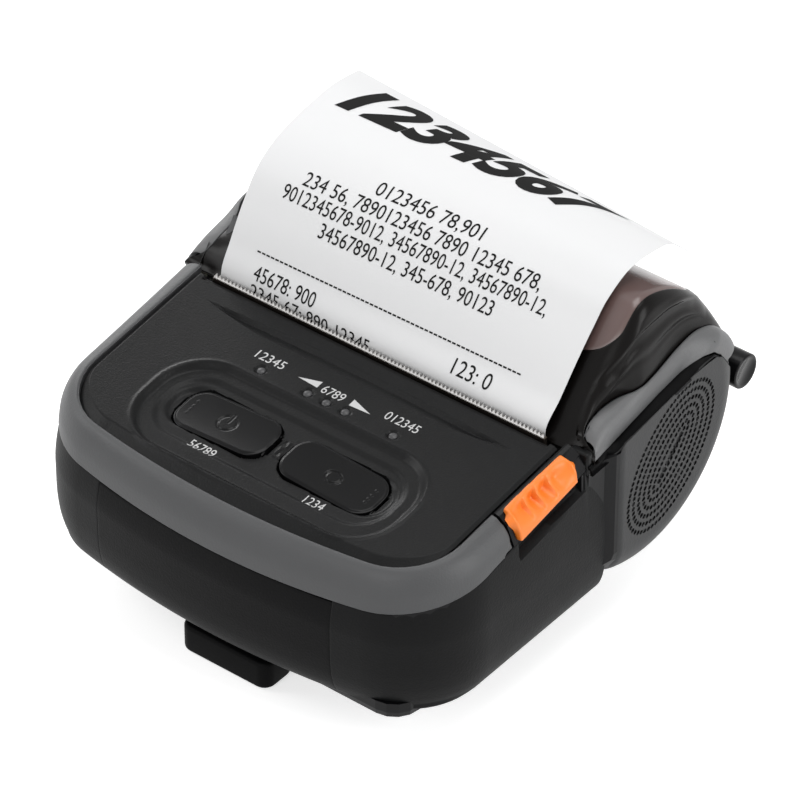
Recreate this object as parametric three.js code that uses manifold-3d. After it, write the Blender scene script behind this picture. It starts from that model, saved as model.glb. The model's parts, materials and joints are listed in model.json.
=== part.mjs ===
// Mobile receipt printer with an eighty millimetre paper roll, in millimetres.
// +X is to the right, +Y to the rear, +Z up. The origin is on the table, under the middle.
import * as THREE from 'three';
import { mergeVertices } from 'three/addons/utils/BufferGeometryUtils.js';
import Module from 'manifold-3d';

const wasm = await Module();
wasm.setup();

// Driving dimensions

const fit = {
  gap: 0.3, // between pieces that touch
  runningGap: 0.45, // round a piece that slides
  wall: 2, // moulded housing wall
  thinWall: 1.5,
  overrun: 2, // how far a cutting tool runs past
};

const steps = {
  side: 3, corner: 8, front: 8, round: 40, small: 14, fine: 64, edge: 4, wire: 5, turn: 10, web: 20, strip: 32, across: 6,
};

const paper = { halfWidth: 39.75, thickness: 0.26, planeY: -0.9, wrap: 16, webTop: 44.9 };

// The widths follow the paper: each row is how far one thing stands outside the last
const beside = {
  platen: 0.65, tear: 0.85, bay: 1.15, bayWall: 1.5, cheek: 1.4, plate: 1, bailArm: 1, gear: 2.1, gearRoom: 1,
  drumFlare: 1.6, panelEdge: 6.4, boardEdge: 10.6, bellyEdge: 7.3, hingeEdge: 2.7, windowEdge: 8.8, coverWall: 5.2,
  screwEdge: 5.9, roomEdge: 3, portDepth: 5, portBody: 11.6, spring: 1.6,
};

const bay = { halfWidth: paper.halfWidth + beside.bay, sideWall: beside.bayWall };
const cheekX = { inner: bay.halfWidth, outer: bay.halfWidth + beside.cheek };
const plateX = { inner: cheekX.outer + fit.gap, outer: cheekX.outer + fit.gap + beside.plate };
const bailX = { inner: plateX.outer + fit.gap, outer: plateX.outer + fit.gap + beside.bailArm };
const gearX = bailX.outer + fit.gap + beside.gear;
const roomX = gearX + beside.gearRoom;

// Front body: a convex front, wide round corners and sides that lean in at the foot
const body = {
  halfWidth: roomX + fit.wall + fit.gap,
  front: -54.2,
  bulge: 3.5,
  corner: 20,
  rear: 10,
  rimZ: 12.9,
  rimInset: 3.8,
  rimCorner: 13,
  flareZ: 14.6,
  flareInset: 1.9,
  bellyZ: 19,
  bellyInset: 0.4,
  waistZ: 27,
  topInset: 0.9,
};

// Parting line between the lower shell and the bezel: it climbs to the rear
const parting = { frontZ: 32.8, slope: 0.2 };

const panel = {
  halfWidth: body.halfWidth - beside.panelEdge,
  front: -48.2,
  bulge: 2.6,
  corner: 13,
  frontZ: 42,
  slope: 0.12,
  rear: -2.6,
  thickness: 2,
  chamfer: 1.3,
};

// Roll housing: a round-edged drum across the rear, flattened by the cover's front slope
const drum = {
  y: 17.6,
  z: 39.6,
  radius: 29.4,
  halfWidth: body.halfWidth + beside.drumFlare,
  edge: 7.7,
  slopeDistance: 17.7,
  slopeAngle: 138.2,
  stepY: 4.8,
};

const hinge = {
  y: 50.5, z: 35.8, radius: 3.75, halfWidth: drum.halfWidth - beside.hingeEdge, knuckle: 30, pinRadius: 1.25, web: 3.2, pinEnd: 2.4,
};

// Where the cover's side wall ends, seen from the side, and how far the shell stays below it
const coverEdge = [
  [-0.6, 45.4], [1, 45.7], [21, 49.7], [30.7, 51.1], [33.5, 51.2], [36.2, 50.5], [39.5, 47.4],
  [42.1, 43.6], [44.5, 41.2], [47.5, 40], [62, 40],
];
const reveal = [2.6, 2.6, 2.6, 2.4, 2, 1.3, 0.6, 0.4, 0.4, 0.4, 0.4];

const roll = { y: 23.5, z: 33.3, radius: 17, coreRadius: 6.5, coreBore: 5.1, bayY: 23.5, bayZ: 36.8, bayRadius: 20.8 };

const platen = {
  y: 3, z: 41.5, radius: 3.5, halfLength: paper.halfWidth + beside.platen, shaftRadius: 1.5, shaftEnd: gearX + fit.gap, bushRadius: 2.4,
};

const gear = {
  module: 0.6, width: beside.gear, x: -gearX, platenTeeth: 12, idlerTeeth: 24, motorTeeth: 10, backlash: 0.3, halfToothShare: 0.5,
  rootShare: 1.25, tipShare: 0.85, rootWidthShare: 1.25, tipWidthShare: 0.5, pinRadius: 1, pinHead: 0.5, boreGap: 0.06,
};
const motor = { y: -5, z: 23, radius: 7.5, length: 14, shaftRadius: 1, x: fit.wall - plateX.inner, nose: 3.2 };

const plate = {
  x: plateX.inner, thickness: beside.plate, backY: -10.6, top: 43.8, bottom: 19.2, lowRear: 1, stepZ: 35.2, highRear: 7.4, rimZ: 43,
  frontTopY: -6, windowXs: [-12, 12], windowZ: 27, windowHalf: 8, windowHalfHeight: 4,
};

const bezel = {
  land: 1, wall: 2, ledge: 1.6, ledgeThickness: 1.2, bulgeShare: 0.38, riseShare: 0.72, crownShare: 0.82, crownRiseShare: 0.97,
  rearRoomFront: -16, rearRoomHalf: body.halfWidth - beside.roomEdge,
};

const board = { halfWidth: body.halfWidth - beside.boardEdge, inset: 6, front: -47, rear: -12.4, bottom: 35, top: 36.2, postX: 24, postYs: [-42, -18], postRadius: 2 };

const keys = {
  x: 14.1, y: -31.8, halfLength: 10.4, halfDepth: 4.8, corner: 3.9, tilt: 3.5, trayHalf: 31.5, trayFront: -41.9, trayRear: -21.4,
  trayCorner: 9, trayDepth: 0.5, capDrop: 0.2, flange: 1, flangeThickness: 1, travel: 0.8, stem: 1.8, switchHalf: 3,
  switchTop: 39.1, plunger: 1.5, plungerTop: 39.6, stemBottom: 40.5,
};

const lamp = { y: -17.2, xs: [-16.2, -4.54, 0, 4.54, 16.2], radius: 0.85, base: 1.6, baseTop: 38, below: 0.1 };

const tear = { halfWidth: paper.halfWidth + beside.tear, front: -2.3, rear: -1.33, tip: 48.3, root: 47.4, foot: -6.4, footTop: 44.7, thickness: 0.8, pitch: 1.4 };

const head = {
  front: -3.3, rear: -1.3, bottom: 34, top: 43.4, halfWidth: paper.halfWidth + beside.platen, springX: 24, springZ: 38.5, springRadius: 2, wire: 0.35,
  turns: 5, cupDepth: 0.8, dotProud: 0.02,
};

const cover = {
  wallX: drum.halfWidth - beside.coverWall, shelfRise: 2.8, shell: 1.6, frameWall: 1.8, barFront: -0.3, barRear: 9.5, barBottom: 45.4, cheekInner: cheekX.inner, cheekOuter: cheekX.outer,
  cheekBottom: 38.4, cheekFront: 0, cheekRear: 6, notchInner: bailX.inner - fit.gap, notchOuter: bailX.outer + fit.gap, notchRear: 6.6, notchTop: 48.4, gearNotchTop: 46.2,
  web: [[45.2, 41.2], [47.4, 40.3], [47.4, 37.4], [50.5, 36], [50.5, 39.5], [46.5, 44.5], [45.2, 45.6]],
  windowY: 26, windowHalfX: drum.halfWidth - beside.windowEdge, windowHalfY: 14.5, windowCorner: 6, windowThickness: 1.4, windowFlange: 1.5,
};

// The smoky part of the cover, seen from the side and from above
const smokyEdge = [
  [-6, 38], [7, 50], ...coverEdge.slice(2, 7).map(([y, z]) => [y, z + cover.shelfRise + fit.gap]), [43, 50], [70, 50],
];
const smokyInset = [[6.2, -6], [6.2, 3], [3.3, 7.3], [1.8, 10.2], [-1.8, 13.4], [-1.8, 70]];
const smokyPlan = smokyInset.map(([inset, y]) => [drum.halfWidth - inset, y]);

// The printed strip's left and right edges, seen from the side
const stripLeft = [[-0.9, 45.4], [-0.75, 48.1], [2.4, 54.6], [6.2, 61], [11.4, 67.6], [17.4, 71], [23.7, 72.6], [34, 73.7], [42.3, 72.7]];
const stripRight = [[-0.9, 45.4], [-0.75, 48], [3.6, 52.9], [8.8, 58.9], [13.6, 63.9], [18.1, 68.1], [26.4, 71.3], [36, 70.2], [44.7, 63.5]];

// General helpers

const rad = THREE.MathUtils.degToRad;

function solid(geometry) {
  const plain = geometry.index ? geometry.toNonIndexed() : geometry.clone();
  const bare = new THREE.BufferGeometry();
  bare.setAttribute('position', plain.getAttribute('position'));
  const merged = mergeVertices(bare, 1e-4);
  const triangles = [];
  const index = merged.index.array;
  for (let i = 0; i < index.length; i += 3) {
    const [a, b, c] = [index[i], index[i + 1], index[i + 2]];
    if (a !== b && b !== c && c !== a) triangles.push(a, b, c);
  }
  return new wasm.Manifold(new wasm.Mesh({
    numProp: 3,
    vertProperties: new Float32Array(merged.getAttribute('position').array),
    triVerts: new Uint32Array(triangles),
  }));
}

function geometryOf(manifold) {
  const mesh = manifold.getMesh();
  const geometry = new THREE.BufferGeometry();
  geometry.setAttribute('position', new THREE.BufferAttribute(new Float32Array(mesh.vertProperties), 3));
  geometry.setIndex(new THREE.BufferAttribute(new Uint32Array(mesh.triVerts), 1));
  geometry.computeVertexNormals();
  return geometry;
}

const join = (first, ...rest) => rest.reduce((sum, next) => sum.add(next), first);
const cut = (first, ...rest) => rest.reduce((sum, next) => sum.subtract(next), first);

function moved(geometry, x, y, z) {
  geometry.translate(x, y, z);
  return geometry;
}

function box(low, high) {
  const size = high.map((value, i) => value - low[i]);
  const middle = high.map((value, i) => (value + low[i]) / 2);
  return solid(moved(new THREE.BoxGeometry(...size), ...middle));
}

// A flat outline of [a, b] points pushed along an axis. Seen along X it is [y, z], along Y [x, z], along Z [x, y].
function prism(axis, outline, from, to) {
  const mirrored = axis === 'y';
  const shape = new THREE.Shape(outline.map(([a, b]) => new THREE.Vector2(mirrored ? -a : a, b)));
  const geometry = new THREE.ExtrudeGeometry(shape, { depth: to - from, bevelEnabled: false });
  geometry.translate(0, 0, from);
  const turn = new THREE.Matrix4();
  if (axis === 'x') turn.makeBasis(new THREE.Vector3(0, 1, 0), new THREE.Vector3(0, 0, 1), new THREE.Vector3(1, 0, 0));
  if (axis === 'y') turn.makeBasis(new THREE.Vector3(-1, 0, 0), new THREE.Vector3(0, 0, 1), new THREE.Vector3(0, 1, 0));
  geometry.applyMatrix4(turn);
  return solid(geometry);
}

function arc(centreA, centreB, radius, from, to, count) {
  const points = [];
  for (let i = 0; i <= count; i += 1) {
    const angle = rad(from + ((to - from) * i) / count);
    points.push([centreA + radius * Math.cos(angle), centreB + radius * Math.sin(angle)]);
  }
  return points;
}

const circle = (a, b, radius, count) => arc(a, b, radius, 0, 360, count).slice(0, -1);

function roundedRectangle(a, b, halfA, halfB, radius, count, tilt = 0) {
  const corners = [[1, 1, 0], [-1, 1, 90], [-1, -1, 180], [1, -1, 270]];
  const points = corners.flatMap(([signA, signB, start]) => arc(
    signA * (halfA - radius), signB * (halfB - radius), radius, start, start + 90, count,
  ));
  const [cosine, sine] = [Math.cos(rad(tilt)), Math.sin(rad(tilt))];
  return points.map(([p, q]) => [a + p * cosine - q * sine, b + p * sine + q * cosine]);
}

// A cylinder along X between two planes
const rod = (y, z, radius, from, to, count = steps.small) => prism('x', circle(y, z, radius, count), from, to);
const post = (x, y, radius, from, to, count = steps.small) => prism('z', circle(x, y, radius, count), from, to);

// A closed skin through rings of points that all hold as many points, with both ends capped
function loft(rings) {
  const positions = [];
  const middle = (ring) => ring[0].map((_, axis) => ring.reduce((sum, p) => sum + p[axis], 0) / ring.length);
  const face = (...corners) => corners.forEach((p) => positions.push(...p));
  const count = rings[0].length;
  for (let i = 0; i < count; i += 1) {
    const next = (i + 1) % count;
    for (let k = 0; k + 1 < rings.length; k += 1) {
      face(rings[k][i], rings[k][next], rings[k + 1][next]);
      face(rings[k][i], rings[k + 1][next], rings[k + 1][i]);
    }
    const last = rings[rings.length - 1];
    face(middle(rings[0]), rings[0][next], rings[0][i]);
    face(middle(last), last[i], last[next]);
  }
  const geometry = new THREE.BufferGeometry();
  geometry.setAttribute('position', new THREE.Float32BufferAttribute(positions, 3));
  return solid(geometry);
}

const group = new THREE.Group();

const finishes = {
  blackPlastic: { color: 0x17181a, roughness: 0.55, metalness: 0 },
  glossBlack: { color: 0x101113, roughness: 0.3, metalness: 0 },
  greyPlastic: { color: 0x4c4d4f, roughness: 0.5, metalness: 0 },
  smoky: { color: 0x2a2423, roughness: 0.15, metalness: 0 },
  window: { color: 0x6d5a58, roughness: 0.1, metalness: 0 },
  orange: { color: 0xe8641c, roughness: 0.45, metalness: 0 },
  steel: { color: 0xb8babc, roughness: 0.35, metalness: 1 },
  aluminium: { color: 0xa9adb0, roughness: 0.4, metalness: 1 },
  brass: { color: 0xb58f3f, roughness: 0.35, metalness: 1 },
  rubber: { color: 0x1b1b1c, roughness: 0.8, metalness: 0 },
  nylon: { color: 0xe8e5da, roughness: 0.5, metalness: 0 },
  paper: { color: 0xf4f4f1, roughness: 0.85, metalness: 0 },
  board: { color: 0x1d5a35, roughness: 0.5, metalness: 0 },
  lens: { color: 0x5a5f66, roughness: 0.2, metalness: 0 },
};

function add(name, manifold, finish) {
  const mesh = new THREE.Mesh(geometryOf(manifold), new THREE.MeshStandardMaterial(finishes[finish]));
  mesh.name = name;
  group.add(mesh);
  return mesh;
}

// Plan outlines

// Counter-clockwise outline with a bowed front, two round front corners and straight sides
function planOutline({ halfWidth, front, bulge, corner, rear }) {
  const lean = Math.atan((2 * bulge) / (halfWidth - corner));
  const start = halfWidth - corner + corner * Math.sin(lean);
  const cornerY = front + bulge + corner * Math.cos(lean);
  const right = [];
  for (let i = 0; i <= steps.front; i += 1) {
    const share = i / steps.front;
    right.push([start * share, front + bulge * share * share]);
  }
  right.push(...arc(halfWidth - corner, cornerY, corner, -90 + THREE.MathUtils.radToDeg(lean), 0, steps.corner).slice(1));
  for (let i = 1; i <= steps.side; i += 1) {
    right.push([halfWidth, cornerY + ((rear - cornerY) * i) / steps.side]);
  }
  const left = right.slice(1).reverse().map(([x, y]) => [-x, y]);
  return [...right, ...left];
}

const bodyOutline = (inset, corner = body.corner - inset, rear = body.rear) => planOutline({
  halfWidth: body.halfWidth - inset, front: body.front + inset, bulge: body.bulge, corner, rear,
});

const panelOutline = (inset, rear = panel.rear) => planOutline({
  halfWidth: panel.halfWidth - inset,
  front: panel.front + inset,
  bulge: panel.bulge,
  corner: panel.corner - inset,
  rear,
});

const partingZ = (y) => parting.frontZ + parting.slope * (y - body.front);
const panelZ = (y) => panel.frontZ + panel.slope * (y - panel.front);
const atHeight = (outline, height) => outline.map(([x, y]) => [x, y, height(x, y)]);

function between(outlineA, outlineB, share, heightA, heightB, heightShare) {
  return outlineA.map(([x, y], i) => {
    const [x2, y2] = outlineB[i];
    const px = x + (x2 - x) * share;
    const py = y + (y2 - y) * share;
    return [px, py, heightA(py) + (heightB(py) - heightA(py)) * heightShare];
  });
}

// The roll housing's drum: its radius in each direction, seen from the side
function drumRadius(degrees, inset) {
  const away = Math.cos(rad(degrees - drum.slopeAngle));
  const flat = away > 0.05 ? (drum.slopeDistance - inset) / away : Infinity;
  const round = drum.radius - inset;
  const sharpness = 14;
  const sum = (flat / round) ** -sharpness + 1;
  return Math.max(round * sum ** (-1 / sharpness), 0);
}

function drumSolid(inset, halfWidth = drum.halfWidth - inset, edge = Math.max(drum.edge - inset, fit.wall)) {
  const profile = [];
  for (let i = 0; i <= steps.edge; i += 1) {
    const angle = rad(90 - (90 * i) / steps.edge);
    profile.push([-halfWidth + edge - edge * Math.sin(angle), edge - edge * Math.cos(angle)]);
  }
  const mirrored = profile.slice().reverse().map(([x, drop]) => [-x, drop]);
  const stations = [...profile, ...mirrored];
  return loft(stations.map(([x, drop]) => {
    const ring = [];
    for (let i = 0; i < steps.fine; i += 1) {
      const degrees = (360 * i) / steps.fine;
      const radius = drumRadius(degrees, inset) - drop;
      ring.push([x, drum.y + radius * Math.cos(rad(degrees)), drum.z + radius * Math.sin(rad(degrees))]);
    }
    return ring;
  }));
}

// The front of the drum steps in to the width of the front body
function drumPlan(inset) {
  const right = [
    [body.halfWidth - body.topInset, body.front],
    [body.halfWidth - body.topInset / 2, 0],
    [body.halfWidth, drum.stepY - fit.wall / 2],
    [drum.halfWidth - fit.gap, drum.stepY + fit.wall / 2],
    [drum.halfWidth, drum.stepY + fit.wall * 2],
    [drum.halfWidth + fit.overrun, drum.y],
    [drum.halfWidth + fit.overrun, drum.y + drum.radius * 2],
  ].map(([x, y]) => [x - inset, y]);
  const outline = [...right, ...right.slice().reverse().map(([x, y]) => [-x, y])];
  return prism('z', outline, -fit.overrun, drum.z + drum.radius * 2);
}

const drumBody = (inset) => drumSolid(inset).intersect(drumPlan(inset));

// Everything above the cover's edge, lowered by a share of the reveal and by an offset
function aboveCoverEdge(revealShare, offset) {
  const top = drum.z + drum.radius * 2;
  const line = coverEdge.map(([y, z], i) => [y, z - reveal[i] * revealShare + offset]);
  const first = line[0][0];
  const last = line[line.length - 1][0];
  return prism('x', [...line, [last, top], [first, top]], -drum.halfWidth * 2, drum.halfWidth * 2);
}

// The cover's end walls stand in from the drum's sides, on shelves that follow its edge
function coverShoulder(inset) {
  const wide = drum.z * 2;
  const line = coverEdge.map(([y, z]) => [y, z + cover.shelfRise - inset]);
  const under = prism('x', [
    [-wide, 0], [wide, 0], [wide, line[line.length - 1][1]], ...line.slice().reverse(), [-wide, line[0][1]],
  ], -wide, wide);
  return join(under, box([inset - cover.wallX, -wide, 0], [cover.wallX - inset, wide, wide]));
}

// Front body from its foot to the parting line
function frontBody(inset, lift, rise = 0) {
  const wider = (amount) => amount + inset;
  const rings = [
    atHeight(bodyOutline(wider(body.rimInset), body.rimCorner), () => body.rimZ + lift),
    atHeight(bodyOutline(wider(body.flareInset)), () => Math.max(body.flareZ, body.rimZ + lift + fit.gap)),
    atHeight(bodyOutline(wider(body.bellyInset)), () => body.bellyZ),
    atHeight(bodyOutline(wider(0)), () => body.waistZ),
    atHeight(bodyOutline(wider(body.topInset)), (x, y) => partingZ(y)),
  ];
  if (rise > 0) rings.push(atHeight(bodyOutline(wider(body.topInset)), (x, y) => partingZ(y) + rise));
  return loft(rings);
}

// Battery pack: its front end is the middle of the printer's front

const battery = {
  halfWidth: 28.4, faceTop: 32.5, top: 31.6, rear: -16.4, sideStep: 1.2, bottom: 13.1,
  roofZ: 32, roofFront: -47.5, railDepth: 1.6, railHeight: 2.4, railZ: 24,
};

function batteryPack() {
  const face = frontBody(0, 0).intersect(box(
    [-battery.halfWidth, body.front - fit.overrun, battery.bottom],
    [battery.halfWidth, battery.roofFront - fit.gap, battery.faceTop],
  ));
  const half = battery.halfWidth - battery.sideStep;
  const block = box([-half, body.front + body.bulge, battery.bottom], [half, battery.rear, battery.top]);
  const rails = [-1, 1].map((side) => prism('z', roundedRectangle(
    side * (half - battery.railDepth / 2), (battery.rear + body.front) / 2,
    battery.railDepth, battery.railHeight, battery.railDepth / 2, steps.edge,
  ), battery.top - fit.gap, battery.top));
  return join(face, block.intersect(frontBody(fit.thinWall, 0)), ...rails.map((rail) => rail.intersect(block)));
}

// Lower shell: front body and roll drum in one moulding

const bin = {
  roomHalfWidth: roomX, lipInner: drum.halfWidth - fit.wall * 2 - fit.gap, lipOuter: drum.halfWidth - fit.wall - fit.gap,
  lipRise: 1.4, partitionTop: 32.6, pocketInner: bay.halfWidth + bay.sideWall,
};
const latch = {
  inner: panel.halfWidth + fit.wall - fit.gap, outer: body.halfWidth, front: -21.6, rear: -4.4, proud: 0.7, corner: 1.8, bottomDrop: 6.6,
  travel: 0.7, frameFront: -23.4, frameRear: -0.9, notchDepth: 2.2, notchHeight: 4.2, skirtFront: 1, skirtRear: 2.2,
  capThickness: 1.6, stemHalf: 0.7,
};
const port = {
  front: -33.4, rear: -15.4, bottom: 18.6, top: 29.4, flap: 1.5, corner: 1.8, jackY: -28.4, jackZ: 24,
  jackRadius: 3.6, jackBore: 2.9, pinRadius: 0.7, usbY: -20.2, usbHalfWidth: 3.7, usbHalfHeight: 1.9, usbZ: 24,
  blockX: beside.portDepth - body.halfWidth, bodyX: beside.portBody - body.halfWidth, block: 3, recessX: fit.wall - body.halfWidth - fit.gap, usbSkin: 0.45, usbTongue: 2,
};
const belly = {
  halfWidth: body.halfWidth - beside.bellyEdge, front: -49.2, leftFront: -43.4, leftEdge: -12.6, rear: 3.6, bottom: 8.9, corner: 6,
  step: 4, round: 0.8, roundShare: 0.3, ribYs: [-26, -9],
};
const caseScrew = {
  x: belly.halfWidth - beside.screwEdge, frontY: -36.5, rearY: -18, headRadius: 2.6, headHeight: 1.8, shank: 1.25, length: 9, recess: 1.5, recessRatio: 4,
};
const clip = {
  halfWidth: 11.4, tipHalfWidth: 8.6, tip: -47, root: 15.6, thickness: 2.4, tipHeight: 5.2, tipDepth: 5,
  rootFront: 4.4, corner: 2.4, screwX: 6.2, screwY: 10, headZ: 4.5, screwLength: 12, taperShare: 0.8,
};

// Latch hooks: both arms turn on one cross bar and hold the platen shaft down
const bail = {
  y: -12.7, z: 19, radius: 0.8, hub: 2.2, inner: bailX.inner, outer: bailX.outer, width: 1.1, barZ: 39, barHalf: 1.3, uprightY: -12.6,
  hookFront: -2.6, claw: 0.6, nose: 0.3, padY: -20.6, padZ: 36.6, padThickness: 1, padRear: -17.4, padDrop: 0.5, neckZ: 31,
  padInner: bailX.outer + fit.thinWall, padOuter: bailX.outer + fit.thinWall + beside.bailArm,
};

const latchSpring = {
  x: bailX.outer + beside.spring, y: -9, bottom: 29.6, top: 37.7, radius: 1.1, wire: 0.26, turns: 6, shelf: 1.8,
  shelfInner: bailX.outer + fit.gap,
};

function notchCutter() {
  const low = (y) => partingZ(y) - latch.notchHeight;
  const high = (y) => partingZ(y) + fit.overrun;
  const side = [
    [latch.front, low(latch.front)], [latch.rear + fit.overrun, low(latch.rear + fit.overrun)],
    [latch.rear + fit.overrun, high(latch.rear)], [latch.front, high(latch.front)],
  ];
  return prism('x', side, body.halfWidth - latch.notchDepth, body.halfWidth + fit.overrun);
}

function lowerShell() {
  const wide = drum.halfWidth * 2;
  const drumPart = drumBody(0).intersect(box([-wide, coverEdge[0][0], 0], [wide, wide, wide]));
  const outer = join(frontBody(0, 0), drumPart);
  const outerSkin = [-1, 1].map((side) => aboveCoverEdge(1, 0).intersect(box(
    [side < 0 ? -wide : bin.lipOuter, -wide, -wide], [side < 0 ? -bin.lipOuter : wide, wide, wide],
  )));
  const mechanismRoom = cut(
    frontBody(fit.wall, fit.wall + fit.gap, fit.overrun),
    rod(roll.bayY, roll.bayZ, roll.bayRadius + fit.thinWall, -wide, wide, steps.round),
    box([-wide, body.rear - fit.wall * 2, -wide], [wide, body.rear + fit.wall, wide]),
  );
  const bayShape = box(
    [-battery.halfWidth - fit.wall, body.front - fit.overrun, 0],
    [battery.halfWidth + fit.wall, battery.rear + fit.wall, battery.roofZ + fit.thinWall],
  );
  const frontTrim = box(
    [-battery.halfWidth - fit.gap, body.front - fit.overrun, 0],
    [battery.halfWidth + fit.gap, battery.roofFront, partingZ(body.front) + wide],
  );
  const batteryRoom = box(
    [-battery.halfWidth - fit.gap, body.front - fit.overrun, -wide],
    [battery.halfWidth + fit.gap, battery.rear + fit.gap, battery.roofZ],
  );
  const rollRoom = rod(roll.bayY, roll.bayZ, roll.bayRadius, -bay.halfWidth, bay.halfWidth, steps.round);
  const overRoll = prism('x', [
    [drum.y - drum.radius, bin.partitionTop], [platen.y + fit.wall, bin.partitionTop], [roll.bayY, roll.bayZ], [wide, roll.bayZ],
    [wide, wide], [drum.y - drum.radius, wide],
  ], -bay.halfWidth, bay.halfWidth).intersect(drumSolid(fit.wall, bay.halfWidth));
  const pockets = [-1, 1].map((side) => {
    const x = side * bin.pocketInner;
    const end = side * bin.lipInner;
    return drumSolid(fit.wall + fit.gap).intersect(box(
      [Math.min(x, end), body.rear, body.rimZ], [Math.max(x, end), wide, wide],
    ));
  });
  const portRoom = prism('x', roundedRectangle(
    (port.front + port.rear) / 2, (port.bottom + port.top) / 2,
    (port.rear - port.front) / 2, (port.top - port.bottom) / 2, port.corner, steps.edge,
  ), -wide, port.recessX);
  const portHoles = [
    rod(port.jackY, port.jackZ, port.jackRadius + fit.gap, -wide, port.blockX + fit.overrun),
    prism('x', roundedRectangle(
      port.usbY, port.usbZ, port.usbHalfWidth + fit.gap, port.usbHalfHeight + fit.gap, fit.gap * 2, steps.edge,
    ), -wide, port.blockX + fit.overrun),
  ];
  const portBlock = box(
    [-wide, port.front - port.block, port.bottom - port.block], [port.blockX, port.rear + port.block / 2, port.top + port.block],
  );
  const knuckles = [-1, 1].flatMap((side) => {
    const [from, to] = side < 0 ? [-hinge.halfWidth, -hinge.knuckle] : [hinge.knuckle, hinge.halfWidth];
    const web = prism('x', [
      [drum.y + drum.radius - fit.wall, hinge.z - hinge.radius], [hinge.y, hinge.z - hinge.radius],
      [hinge.y, hinge.z + hinge.web / 2], [drum.y + drum.radius - fit.wall, hinge.z + hinge.web / 2],
    ], from + (side < 0 ? hinge.web * 2 : 0), to - (side > 0 ? hinge.web * 2 : 0));
    return [web, rod(hinge.y, hinge.z, hinge.radius, from, to, steps.small * 2)];
  });
  const pinHole = rod(hinge.y, hinge.z, hinge.pinRadius + fit.gap, -hinge.halfWidth + fit.wall, hinge.halfWidth - fit.wall);
  const hingeRoom = rod(hinge.y, hinge.z, hinge.radius + fit.gap, -hinge.knuckle, hinge.knuckle, steps.small * 2);
  const platenRoom = box(
    [-bin.roomHalfWidth, platen.y - platen.radius * 2, bin.partitionTop + fit.wall],
    [bin.roomHalfWidth, platen.y + platen.radius + fit.wall, wide],
  );
  const screwHoles = [-1, 1].flatMap((side) => [caseScrew.frontY, caseScrew.rearY].map((y) => post(
    side * caseScrew.x, y, caseScrew.shank + fit.gap, 0, belly.bottom + caseScrew.length + fit.gap,
  )));
  const clipHoles = [-1, 1].map((side) => post(
    side * clip.screwX, clip.screwY, caseScrew.shank + fit.gap, 0, clip.headZ + clip.screwLength + fit.gap,
  ));
  const bosses = [-1, 1].flatMap((side) => [caseScrew.frontY, caseScrew.rearY].map((y) => post(
    side * caseScrew.x, y, caseScrew.headRadius + fit.gap, body.rimZ + fit.gap, belly.bottom + caseScrew.length + fit.wall,
  )));
  const barRoom = box([-wide, cover.barFront, cover.barBottom - fit.gap], [wide, cover.barRear + fit.gap, wide]);
  const lipZone = drumSolid(cover.frameWall + fit.gap).intersect(coverShoulder(cover.frameWall + fit.gap)).intersect(box(
    [-bin.lipOuter, cover.barRear + fit.wall, 0], [bin.lipOuter, coverEdge[6][0], wide],
  ));
  const gearRoom = rod(
    ...idlerPlace, pitchRadius(gear.idlerTeeth) + gear.module * 2, gear.x - fit.gap * 2, -plate.x - plate.thickness, steps.round,
  );
  const shell = cut(
    outer,
    cut(mechanismRoom, bayShape, portBlock, ...bosses),
    ...outerSkin,
    cut(aboveCoverEdge(0, -fit.gap), cut(lipZone, aboveCoverEdge(0, bin.lipRise))), gearRoom,
    barRoom, frontTrim, batteryRoom, rollRoom, overRoll, ...pockets, portRoom, ...portHoles, notchCutter(), platenRoom,
  );
  const shelf = box(
    [latchSpring.shelfInner, latchSpring.y - latchSpring.shelf, latchSpring.bottom - fit.gap - fit.thinWall],
    [body.halfWidth - fit.thinWall, latchSpring.y + latchSpring.shelf, latchSpring.bottom - fit.gap],
  );
  const boardPosts = [-1, 1].flatMap((side) => board.postYs.map((y) => post(
    side * board.postX, y, board.postRadius, battery.roofZ + fit.gap, board.bottom - fit.gap,
  )));
  return cut(join(shell, shelf, ...boardPosts, ...knuckles), pinHole, hingeRoom, ...screwHoles, ...clipHoles);
}

// Belly plate under the front body, with its left front corner cut back

function bellyOutline(inset) {
  const radius = belly.corner - inset;
  return [
    [belly.leftEdge + inset, belly.front + inset],
    ...arc(belly.halfWidth - belly.corner, belly.front + belly.corner, radius, -90, 0, steps.edge),
    [belly.halfWidth - inset, belly.rear - inset],
    [-belly.halfWidth + inset, belly.rear - inset],
    ...arc(-belly.halfWidth + belly.corner, belly.leftFront + belly.corner, radius, 180, 270, steps.edge),
    [belly.leftEdge - belly.step + inset, belly.leftFront + inset],
  ];
}

const screwPlaces = [[-1, caseScrew.frontY], [1, caseScrew.frontY], [-1, caseScrew.rearY], [1, caseScrew.rearY]];

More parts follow.
